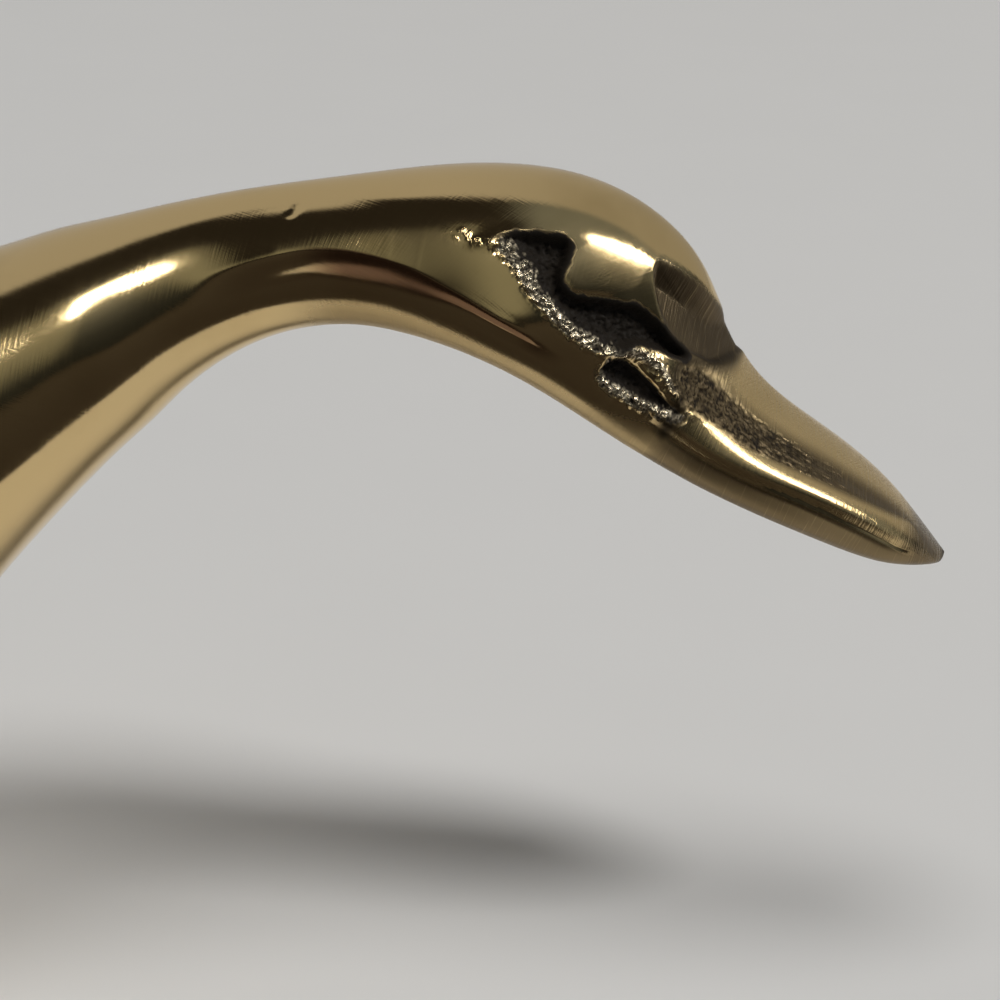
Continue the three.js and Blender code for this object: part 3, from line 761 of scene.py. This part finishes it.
# Eye and lore, in millimetres
EYE_ROUNDED = 0.14
EYE_ROUND_REACH = 0.8
EYE_ROUND_POWER = 2
EYE_BORDER = 1.2, 0.6
EYE_FOOT_FADE = 0.5, 0.25
LORE_DEPTH = 0.15
LORE_SLOPE = 0.45
LORE_REACH = 3
LORE_BORDER = 0.0, 0.2
LORE_TO_EYE = 0.0, 0.5
LORE_LOW = 0.31  # share of the half girth where the flat of the lore ends


def flat_depth(grid, low):
    """How far each ring stands out of the straight line from its crest to a share of its half girth."""
    shares = np.abs(grid.places[:, 1]).reshape(grid.shape)
    middle = grid.shape[1] // 2
    foot = middle + np.abs(shares[:, middle:] - low * shares.max(1, keepdims=True)).argmin(1)
    rows = np.arange(grid.shape[0])
    chord = grid.points[rows, foot] - grid.points[:, middle]
    out = np.cross(chord, np.gradient(grid.points[:, middle], axis=0))
    out *= np.sign(-out[:, 1:2]) / np.linalg.norm(out, axis=1, keepdims=True)
    mirror = np.where(grid.points[..., 1:2] > 0, [1, -1, 1], [1, 1, 1])
    reach = ((grid.points * mirror - grid.points[:, middle, None]) * out[:, None]).sum(-1)
    return np.clip(reach, 0, None)


def eye_and_lore(grid):
    """The eye rounds off into its pit; the lore is a flat cut back from a sharp edge to the crest."""
    eye = grid.inside(EYE)
    foot, share = grid.across(EYE_FOOT)
    rounding = EYE_ROUNDED * swell(foot, EYE_ROUND_REACH, EYE_ROUND_POWER)
    rounding = rounding * smooth(*EYE_BORDER, -eye) * faded(share, *EYE_FOOT_FADE)
    cut, _ = grid.across(LORE_EDGE)
    hollow = np.minimum(LORE_DEPTH + flat_depth(grid, LORE_LOW), LORE_SLOPE * np.clip(cut, 0, LORE_REACH))
    hollow = hollow * smooth(*LORE_BORDER, grid.inside(LORE)) * smooth(*LORE_TO_EYE, -eye)
    return -rounding - hollow


# Pits: outline, sand bank, depth, and the distances off the bank where they grow deep and where painted
# shade darkens them
PITS = [
    (EYE_PIT, EYE_BANK, 1.0, (0.3, 1.7), (0.35, 1.1)),
    (GAPE_PIT, GAPE_BANK, 0.8, (0.2, 1.0), (0.3, 0.8)),
]
PIT_WALL = -0.05, 0.25
PIT_SHADE = -0.05, 0.05
PIT_SAND = -0.02, 0.08
PIT_BORDER = -0.5, 0.0
BANK_LUMPS = 0.7, 2.0  # size in millimetres and seed, as for each of the lumps below
BANK_UNEVEN = 0.18
BANK_REACH = 0.8
BANK_RAGGED = 3
BANK_WIDTH = 0.4
BANK_SUNK = 0.1
EDGE_SHADE_LUMPS = 0.45, 5.0
EDGE_SHADE_UNEVEN = 0.16
EDGE_SHADE_BORDER = -0.34, -0.18
CREST_WIDTH = 0.5
CREST_HEIGHT = 0.28
CREST_FADE = 0.15, 0.45
CREST_BRIGHT = 0.35
SPECK_LUMPS = 0.4, 4.0
SPECK_SPAN = -0.1, 0.2
SPECK_SHARE = 0.55
SPECK_WIDTH = 0.4
SPECK_FADE = 0.5, 0.1
JOINT_GRIT = 0.12
JOINT_WIDTH = 0.5
JOINT_FADE = 0.45, 0.35
RIM_HEIGHT = 0.14
RIM_REACH = 1.1
RIM_DROP = 0.9, 0.4
RIM_FADE = 0.35, 0.2


def pits(grid):
    """Sand-rough pits beside the eye and the gape; returns height, roughness, painted shade inside the pits,
    painted shade along the eye pit's edge and specks.
    """
    uneven = BANK_UNEVEN * grid.grain(*BANK_LUMPS)
    insides, deep, shades, banked = [], [], [], []
    for marks, bank_marks, depth, slope, shade in PITS:
        bank, _ = grid.across(bank_marks)
        inside = grid.inside(marks) + uneven * hump(bank, BANK_REACH)
        away = np.abs(bank)
        insides.append(inside)
        deep.append(depth * smooth(*PIT_WALL, inside) * (BANK_SUNK + (1 - BANK_SUNK) * smooth(*slope, away)))
        shades.append(smooth(*shade, away))
        banked.append(hump(bank + BANK_RAGGED * uneven, BANK_WIDTH))
    ridge, along = grid.across(GAPE_RIDGE)
    crest = hump(ridge, CREST_WIDTH) * faded(along, *CREST_FADE)
    root, along = grid.across(BILL_ROOT)
    joint = JOINT_GRIT * hump(root, JOINT_WIDTH) * faded(along, *JOINT_FADE)
    sandy = highest([smooth(*PIT_SAND, inside) for inside in insides])
    rough = highest([sandy, highest(banked) * smooth(*PIT_BORDER, highest(insides)), crest, joint])

    # Painted shade on the inner, shaded side of each pit, less on the gape ridge's crest
    dark = highest([smooth(*PIT_SHADE, inside) * shade for inside, shade in zip(insides, shades)])
    # Painted shade along the outer edge of the eye pit, over its rounded rim
    stain = smooth(*EDGE_SHADE_BORDER, insides[0] + EDGE_SHADE_UNEVEN * grid.grain(*EDGE_SHADE_LUMPS)) * shades[0]
    trail, along = grid.across(SPECKS)
    specks = SPECK_SHARE * hump(trail, SPECK_WIDTH) * faded(along, *SPECK_FADE)
    specks = specks * smooth(*SPECK_SPAN, grid.grain(*SPECK_LUMPS))

    rim, along = grid.across(PIT_RIM)
    raised = np.where(rim <= 0, swell(rim, RIM_REACH, SWELL_POWER), smooth(*RIM_DROP, rim))
    raised = RIM_HEIGHT * raised * faded(along, *RIM_FADE)
    return CREST_HEIGHT * crest + raised - highest(deep), rough, dark - CREST_BRIGHT * crest, stain, specks


# Bill, in millimetres
MOUTH_DEPTH = 0.14
MOUTH_WIDTH = 0.22
MOUTH_FADE = 0.1, 0.12
RIDGE_HEIGHT = 0.36
RIDGE_EXTRA = 0.25  # near the bill's root
RIDGE_LOWERS = 12.9, 12.2
RIDGE_BELOW = 1.1
RIDGE_ABOVE = 1.8
RIDGE_FADE = 0.06, 0.4
BAND_DEPTH = 0.08
BAND_WIDTH = 0.6
BAND_FADE = 0.6, 0.3


def bill_forms(grid):
    """Mouth line, a ridge along the bill and a shallow hollow above it."""
    gap, share = grid.across(MOUTH)
    mouth = MOUTH_DEPTH * hump(gap, MOUTH_WIDTH) * faded(share, *MOUTH_FADE)
    ridge, share = grid.across(BILL_RIDGE)
    height = RIDGE_HEIGHT + RIDGE_EXTRA * smooth(*RIDGE_LOWERS, grid.stations())
    raised = height * hump(ridge, np.where(ridge > 0, RIDGE_BELOW, RIDGE_ABOVE)) * faded(share, *RIDGE_FADE)
    band, share = grid.across(BILL_BAND)
    return raised - BAND_DEPTH * hump(band, BAND_WIDTH) * faded(share, *BAND_FADE) - mouth


# Areas of the head: stations and millimetres between which they come or go, and shares of the half girth
FLANK_TOP = -1.6, 0.0
FLANK_FOOT = -1.5, -0.85
FLANK_ROOT = 0.0, 0.5
FLANK_GRIT = 0.45, 1.0
FLANK_GRIT_GOES = 14.8, 13.0
FLANK_GRAIN = 0.5, 1.0
FLANK_SHADE_GOES = 13.8, 12.9
UNDER_COMES = 9.0, 9.6
UNDER_FROM = 0.67
UNDER_RISE = 0.12
UNDER_RISES = 11.6, 12.5
UNDER_BORDER = -0.05, 0.05
LORE_PAINT = -0.3, 0.1
LORE_PAINT_TO_EYE = 0.0, 0.15
EYE_PAINT = 0.0, 0.3
BELT_OFF_RIDGE = 0.65
BELT_OFF_WIDTH = 1.4
NIB_COMES = 15.88, 15.96
TIP_COMES = 14.8, 15.4
MANDIBLE_COMES = 12.2, 12.6
MANDIBLE_TOP = 0.1, 0.3
ROOT_GOES = 12.95, 12.75
ROOT_STAIN_WIDTH = 0.9
ROOT_SOOT_WIDTH = 0.5
SCUFF_WIDTH = 0.6
NECK_GOES = 9.0, 8.6
NECK_TOP = 0.12, 0.2
NECK_FOOT = 0.56, 0.46

# Each paint's share on those areas
# The soot share in the pits, at the eye pit's edge and on the bill's flank is painted shade; the tarnish
# share on the flank, the underside and the mandible is painted shade and darker reflection
HEAD_PAINT = {
    "soot": {"pit_soot": 1.0, "pit_stain": 1.0, "nib": 0.6, "flank_shade": 0.35, "root_soot": 0.7},
    "linish": {"under": 1.0, "lore": 1.0, "eye": 0.2, "belt": 1.0},
    "grit": {"sand": 1.0, "flank_grain": 0.55, "scuff": 0.25, "specks": 1.0},
    "blush": {"blush": 1.0},
    "tarnish_and_shade": {
        "lore": 0.95, "flank": 0.9, "under": 0.35, "mandible": 0.75,
        "blush": 0.65, "tip": 0.85, "nib": 0.9, "root_stain": 0.85,
    },
    "satin": {
        "flank": 0.5, "lore": 0.55, "under": 0.8, "mandible": 0.9,
        "eye": 0.3, "bill": 0.3, "neck": 0.12, "blush": 0.5,
    },
}


def head_areas(grid, shares):
    """Areas of the head that are finished alike, from 0 to 1."""
    station = grid.stations()
    from_crest = np.abs(shares)
    root, _ = grid.across(BILL_ROOT, WHOLE_HEAD)
    ridge, _ = grid.across(BILL_RIDGE, WHOLE_HEAD)
    band, _ = grid.across(BILL_BAND, WHOLE_HEAD)
    mouth, _ = grid.across(MOUTH, WHOLE_HEAD)
    scuff, _ = grid.across(EYE_SCUFF)
    eye = grid.inside(EYE)
    bill = (root < 0) & (mouth < 0)
    flank = smooth(*FLANK_TOP, band) * (1 - smooth(*FLANK_FOOT, ridge)) * smooth(*FLANK_ROOT, -root)
    under_from = UNDER_FROM - UNDER_RISE * smooth(*UNDER_RISES, station)
    return {
        "bill": bill,
        "belt": bill * (1 - BELT_OFF_RIDGE * hump(ridge, BELT_OFF_WIDTH)),
        "flank": flank,
        "flank_grit": smooth(*FLANK_GRIT, flank) * smooth(*FLANK_GRIT_GOES, station),
        "flank_grain": smooth(*FLANK_GRAIN, flank),
        # Painted shade on the bill's flank
        "flank_shade": flank * smooth(*FLANK_SHADE_GOES, station),
        "under": smooth(*UNDER_BORDER, from_crest - under_from) * smooth(*UNDER_COMES, station),
        "lore": smooth(*LORE_PAINT, grid.inside(LORE)) * smooth(*LORE_PAINT_TO_EYE, -eye),
        "eye": smooth(*EYE_PAINT, eye),
        "nib": smooth(*NIB_COMES, station),
        "tip": smooth(*TIP_COMES, station),
        "mandible": smooth(*MANDIBLE_TOP, mouth) * smooth(*MANDIBLE_COMES, station),
        "root_stain": hump(root, ROOT_STAIN_WIDTH) * smooth(*ROOT_GOES, station),
        "root_soot": hump(root, ROOT_SOOT_WIDTH) * smooth(*ROOT_GOES, station),
        "scuff": hump(scuff, SCUFF_WIDTH),
        "neck": smooth(*NECK_GOES, station) * smooth(*NECK_TOP, from_crest) * smooth(*NECK_FOOT, from_crest),
    }


# Surface of the head: sizes in millimetres
FLANK_ROUGH = 0.55
SAND_SIZE = 0.33
SAND_FROM = 0.01  # least roughness that has sand grains
SAND_HEIGHT = 0.15
CRACK_DEPTH = 0.12
DUST_LUMPS = 0.15, 11.0
DUST_HEIGHT = 0.08
FORM_BLUR = 2
WAVE_LUMPS = 7.0, 9.0
WAVE_HEIGHT = 0.03
NICK_DEPTH = 0.05
NICK_WIDTH = 0.2
NICK_FADE = 0.2, 0.2
NECK_SWELL = 0.16
NECK_SWELL_STATION = 8.26
NECK_SWELL_WIDTH = 2.5

# Painted shade and soot in the pits: shade on their shaded side and in cracks, less on the lit grains, and
# soot in blotches
BLOTCH_LUMPS = 0.9, 6.0
BLOTCH_SPAN = 0.0, 0.4
SHADE_IN_DARK = 1.9
SHADE_IN_CRACKS = 1.1
SHADE_OFF_GRAINS = 0.9
SOOT_IN_BLOTCHES = 0.5
PIT_DARK_LOST = 0.1
PIT_DARK_SPAN = 0.15, 0.5


def head_and_neck():
    places = np.append(spaced(HEAD_ROWS), SPINE_LENGTH - TIP_BLUNT)
    places[0] = JOINT_AT + SEAT_GAP
    shares = head_shares()
    grid = Sheet(places, np.broadcast_to(shares, (len(places), len(shares))))
    sunk, rough, dark, stain, specks = pits(grid)
    cheek, blush = cheek_and_jaw(grid)
    areas = head_areas(grid, shares)

    forms = cheek + eye_and_lore(grid) + bill_forms(grid) + sunk
    rough = np.maximum(rough, FLANK_ROUGH * areas["flank_grit"])
    grain, crack = grid.grains(SAND_SIZE, rough > SAND_FROM)
    height = blurred(forms, FORM_BLUR) + WAVE_HEIGHT * grid.grain(*WAVE_LUMPS)
    height += rough * (SAND_HEIGHT * grain - CRACK_DEPTH * crack + DUST_HEIGHT * grid.grain(*DUST_LUMPS))
    nick, share = grid.across(NICK)
    height -= NICK_DEPTH * hump(nick, NICK_WIDTH) * faded(share, *NICK_FADE)
    height += NECK_SWELL * hump(places - spine_at(NECK_SWELL_STATION), NECK_SWELL_WIDTH)[:, None]
    points = grid.points + grid.normal * height[..., None]

    blotch = smooth(*BLOTCH_SPAN, grid.grain(*BLOTCH_LUMPS))
    # Painted shade in the pits and their cracks, with soot in blotches
    soot = SHADE_IN_DARK * dark + SHADE_IN_CRACKS * crack - SHADE_OFF_GRAINS * grain
    soot = np.clip(soot + SOOT_IN_BLOTCHES * blotch - PIT_DARK_LOST, 0, 1) * smooth(*PIT_DARK_SPAN, rough)
    areas.update(pit_soot=soot, pit_stain=stain, blush=blush, sand=rough, specks=specks)
    fields = {paint: layered(areas, HEAD_PAINT[paint]) for paint in PAINTS}
    piece = add_piece("head_and_neck_casting", points.reshape(-1, 3), ring_faces(*grid.shape), polished,
                      fields, grid.places)
    piece.data.materials.append(linished)
    on_bill = areas["bill"][:-1]
    finish = np.zeros(len(piece.data.polygons), np.int32)
    finish[:on_bill.size] = on_bill.ravel()
    piece.data.polygons.foreach_set("material_index", finish)
    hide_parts("head_and_neck")
    return piece


# Body castings, in millimetres
PARTING = 0.05  # from the middle of the bird to each half
SHELL_ROWS = [(0, 0.5, 0.12), (0.5, 5.6, 0.4), (5.6, NECK_JOINT, 0.5)]
SHELL_COLUMNS = 190
TAIL_BLUNT = 0.1
SEAM_EASE = 0.4
SEAM_LIMIT = 0.9  # most of the half width that a seam may take
CAST_LUMPS = 11.0, 3.0
CAST_HEIGHT = 0.05
WING_HEIGHT = 1.2
WING_BORDER = -0.5, 0.9
WING_MARGIN = 4.0
FEATHER_DEPTH = 0.8
FEATHER_WIDTH = 1.1
FEATHER_FADE = 0.15, 0.1


def seam_shares(places):
    """Shares of the half girth where a half casting starts at the back seam and ends at the belly's."""
    line = LINES(places)
    half = line[:, HALF] * end_rounding(places, TAIL_ROUND)
    seam_start = spine_at(SEAM_STATION)
    edge = PARTING + (SEAM_WIDTH / 2 - PARTING) * smooth(seam_start, seam_start + SEAM_EASE, places)
    narrow = np.minimum(edge / half, SEAM_LIMIT)
    back = np.arcsin(narrow ** (line[:, SQUARE_ABOVE] / 2))
    belly = math.pi - np.arcsin(narrow ** (line[:, SQUARE_BELOW] / 2))
    runs = girth_runs(places)
    ends = []
    for turns in (back, belly):
        ends.append([np.interp(turn, FINE_TURNS, run) / run[-1] for turn, run in zip(turns, runs)])
    return np.array(ends)[..., None]


def half_shell(name, node_name, side):
    """Half casting on the bird's right (side -1) or left (side 1)."""
    places = np.append(spaced(SHELL_ROWS), JOINT_AT)
    places[0] = TAIL_BLUNT
    first, final = seam_shares(places)
    grid = Sheet(places, first + (final - first) * np.linspace(0, 1, SHELL_COLUMNS))

    height = CAST_HEIGHT * grid.grain(*CAST_LUMPS)
    height += WING_HEIGHT * smooth(*WING_BORDER, grid.inside(WING, WING_MARGIN))
    for marks in FEATHERS:
        gap, along = grid.across(marks)
        height -= FEATHER_DEPTH * faded(along, *FEATHER_FADE) * hump(gap, FEATHER_WIDTH / 2)
    outer = grid.points + grid.normal * height[..., None]
    outer[..., 1] = np.minimum(outer[..., 1], -PARTING)
    outer[..., 2] = np.maximum(outer[..., 2], FOOT)
    outer[..., 1] *= -side
    faces = ring_faces(*grid.shape)
    if side > 0:
        faces = [face[::-1] for face in faces]
    fields = {paint: np.zeros(grid.shape) for paint in PAINTS}
    piece = add_piece(name, outer.reshape(-1, 3), faces, polished, fields, grid.places)
    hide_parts(node_name)
    return piece


# Felt: rings of points, as shares of the oval's half axes and of its thickness
FELT_RINGS = [
    (0.01, 0.0), (0.4, 0.0), (0.8, 0.0), (1.0, 0.25), (1.0, 0.75),
    (0.985, 0.95), (0.95, 1.0), (0.6, 1.0), (0.01, 1.0),
]
FELT_SIDES = 160


def felt_pad():
    size = (felt_high - felt_low) / MM
    angle = np.linspace(0, 2 * math.pi, FELT_SIDES, endpoint=False)
    rings = []
    for share, level in FELT_RINGS:
        x = FOOT_X + share * size.x / 2 * np.cos(angle)
        y = share * size.y / 2 * np.sin(angle)
        rings.append(np.stack([x, y, np.full(FELT_SIDES, level * felt_high.z / MM)], -1))
    points = np.concatenate(rings)
    piece = add_piece("felt_foot_pad", points, ring_faces(len(FELT_RINGS), FELT_SIDES), felt)
    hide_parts("felt_pad")
    return piece


head_and_neck()
half_shell("right_half_casting", "right_body_shell", -1)
half_shell("left_half_casting", "left_body_shell", 1)
felt_pad()

# Pieces that keep the CAD shape
for name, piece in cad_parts.items():
    if name.endswith("_braze"):
        finish = braze
    elif name == "base_plate":
        finish = sheet_brass
    else:
        finish = steel
    piece.data.materials.clear()
    piece.data.materials.append(finish)


# Stage, in metres
FLOOR_HALF = 3.0
FLOOR_DARK = rgb(0.675, 0.665, 0.645)
FLOOR_PALE = rgb(0.69, 0.68, 0.66)
FLOOR_SCALE = 60.0
STAGE_ROUGH = 0.9
FLAG_BACK = -0.034
FLAG_LEVEL = 0.0004
# The card's dark colour is painted shade for the ground in front of the bird
SHADE_CARD_COLOUR = rgb(0.03, 0.024, 0.02)


def add_sheet(name, front, back, level, material):
    """Level rectangle as wide as the floor."""
    corners = [(-FLOOR_HALF, front), (FLOOR_HALF, front), (FLOOR_HALF, back), (-FLOOR_HALF, back)]
    return add_object(name, [(x, y, level) for x, y in corners], [(0, 1, 2, 3)], material)


def add_floor():
    material, tree, shader = new_material("pale_floor")
    mottle = cloud_of(tree, object_place(tree), FLOOR_SCALE, detail=3.0)
    feed(tree, shader.inputs["Base Color"], mix_colour(tree, mottle, FLOOR_DARK, FLOOR_PALE))
    shader.inputs["Roughness"].default_value = STAGE_ROUGH
    floor = add_sheet("floor", -FLOOR_HALF, FLOOR_HALF, 0, material)


def add_shade_card():
    """Dark card on the floor in front of the bird, which only reflections show: painted shade for the ground
    there.
    """
    material, _, shader = new_material("painted_shade_card")
    shader.inputs["Base Color"].default_value = SHADE_CARD_COLOUR
    shader.inputs["Roughness"].default_value = STAGE_ROUGH
    shade_flag = add_sheet("shade_flag", -FLOOR_HALF, FLAG_BACK, FLAG_LEVEL, material)
    shade_flag.visible_camera = False
    shade_flag.visible_diffuse = False
    shade_flag.visible_shadow = False


# Room: patches of light as degrees where they start, are full, begin to fade and end
WINDOW_TURN = -28, -6, 6, 14
WINDOW_LIFT = 3, 9, 48, 58
GLOW_TURN = 64, 80, 100, 115
GLOW_LIFT = -4, 12, 26, 40
GLOW_SHARE = 0.5
ROOM_COLOUR = rgb(0.020, 0.018, 0.016)
WINDOW_COLOUR = rgb(0.24, 0.25, 0.215)
GLOW_COLOUR = rgb(0.26, 0.29, 0.30)
WALL_LEFT = rgb(0.42, 0.415, 0.405)
WALL_RIGHT = rgb(0.33, 0.325, 0.31)

# Room: brightness of the grey side at degrees above the floor, and its tint
SIDE_STOPS = [(4, 0.020), (16, 0.035), (26, 0.08), (36, 0.18), (60, 0.20), (90, 0.16)]
SIDE_TINT = 0.93, 1.03, 1.08

# Room: where the parts meet, as parts of the direction looked in
SIDE_BORDER = -0.03, 0.22
WALL_SPAN = -0.1, 0.5
WALL_RISE = 0.0, 0.5
WALL_LEAN = 0.55, 0.0
WALL_BORDER = -0.06, 0.06


def band_of(tree, value, start, full, fading, end):
    """One from full to fading, in degrees, easing to nothing at start and end."""
    rise = eased_range(tree, value, math.radians(start), math.radians(full))
    fall = eased_range(tree, value, math.radians(end), math.radians(fading))
    return times(tree, rise, fall)


def side_ramp(tree, lift):
    """Grey that changes with the height looked at."""
    ramp = node(tree, "ValToRGB", Fac=ranged(tree, lift, (0.0, QUARTER)))
    elements = ramp.color_ramp.elements
    while len(elements) < len(SIDE_STOPS):
        elements.new(0.5)
    for element, (degrees, level) in zip(elements, SIDE_STOPS):
        element.position = degrees / 90
        element.color = rgb(*(part * level for part in SIDE_TINT))
    return ramp.outputs[0]


def add_world():
    """Dark room: a pale wall behind the bird, a window beside the camera and a grey side on the right."""
    world = bpy.data.worlds.new("studio")
    world.use_nodes = True
    world.cycles_visibility.diffuse = False
    bpy.context.scene.world = world
    tree = world.node_tree
    way = node(tree, "TexCoord").outputs["Generated"]
    x, y, z = node(tree, "SeparateXYZ", Vector=way).outputs
    turn = math_node(tree, "ARCTAN2", x, times(tree, y, -1.0))
    lift = math_node(tree, "ARCSINE", z)
    window = times(tree, band_of(tree, turn, *WINDOW_TURN), band_of(tree, lift, *WINDOW_LIFT))
    colour = mix_colour(tree, window, ROOM_COLOUR, WINDOW_COLOUR)
    colour = mix_colour(tree, eased_range(tree, x, *SIDE_BORDER), colour, side_ramp(tree, lift))
    glow = times(tree, band_of(tree, turn, *GLOW_TURN), band_of(tree, lift, *GLOW_LIFT))
    colour = mix_colour(tree, times(tree, glow, GLOW_SHARE), colour, GLOW_COLOUR)
    behind = math_node(tree, "SUBTRACT", y, ranged(tree, z, WALL_RISE, WALL_LEAN))
    wall = mix_colour(tree, ranged(tree, x, WALL_SPAN), WALL_LEFT, WALL_RIGHT)
    colour = mix_colour(tree, eased_range(tree, behind, *WALL_BORDER), colour, wall)
    feed(tree, tree.nodes["Background"].inputs["Color"], colour)
    tree.nodes["Background"].inputs["Strength"].default_value = 1.0


# Camera and lamps: what they point at, in millimetres before the shift, and where they stand
TARGET_X = 39.2
TARGET_Z = 31.7
TARGET = Vector((TARGET_X + SHIFT, 0.0, TARGET_Z)) * MM
CAMERA_RISE = 20.0
CAMERA_DISTANCE = 0.2257
CAMERA_LENS = 130.0
CAMERA_SENSOR = 36.0
CAMERA_CLIP = 0.005
LAMPS = {
    "key_light": dict(lift=49.5, turn=51.5, roll=0.0, distance=4.0, size=(1.1, 1.1), power=97.0),
    "top_light": dict(lift=75.0, turn=-10.0, roll=0.0, distance=4.0, size=(2.0, 2.0), power=60.0),
}
GLINTS = {
    "side_glint": dict(lift=39.5, turn=68.0, roll=-48.0, distance=1.0, size=(0.54, 0.10), power=3.0),
    "neck_glint": dict(lift=46.0, turn=-0.5, roll=0.0, distance=1.0, size=(0.12, 0.28), power=1.2),
}


def point_at(thing, target, roll=0.0):
    facing = (Vector(target) - thing.location).to_track_quat("-Z", "Y")
    thing.rotation_euler = (facing @ Quaternion((0, 0, 1), math.radians(roll))).to_euler()


def direction(lift, turn):
    """Way to a place lift degrees up and turn degrees to the right of the camera's side."""
    lift, turn = math.radians(lift), math.radians(turn)
    return Vector((math.cos(lift) * math.sin(turn), -math.cos(lift) * math.cos(turn), math.sin(lift)))


def add_light(name, lift, turn, roll, distance, size, power):
    """Oval lamp with sizes in metres and a power in watts."""
    lamp = bpy.data.lights.new(name, "AREA")
    lamp.shape = "ELLIPSE"
    lamp.size, lamp.size_y = size
    lamp.energy = power
    light = bpy.data.objects.new(name, lamp)
    bpy.context.scene.collection.objects.link(light)
    light.location = TARGET + direction(lift, turn) * distance
    point_at(light, TARGET, roll)
    return light


def add_camera():
    lens = bpy.data.cameras.new("photo_camera")
    lens.lens = CAMERA_LENS
    lens.sensor_width = CAMERA_SENSOR
    lens.clip_start = CAMERA_CLIP
    camera = bpy.data.objects.new("photo_camera", lens)
    bpy.context.scene.collection.objects.link(camera)
    camera.location = TARGET + direction(CAMERA_RISE, 0.0) * CAMERA_DISTANCE
    point_at(camera, TARGET)
    bpy.context.scene.camera = camera


add_floor()
add_shade_card()
add_world()
for name, settings in LAMPS.items():
    add_light(name, **settings).visible_glossy = False
for name, settings in GLINTS.items():
    add_light(name, **settings).visible_diffuse = False
add_camera()
bpy.context.scene.view_settings.view_transform = "Standard"
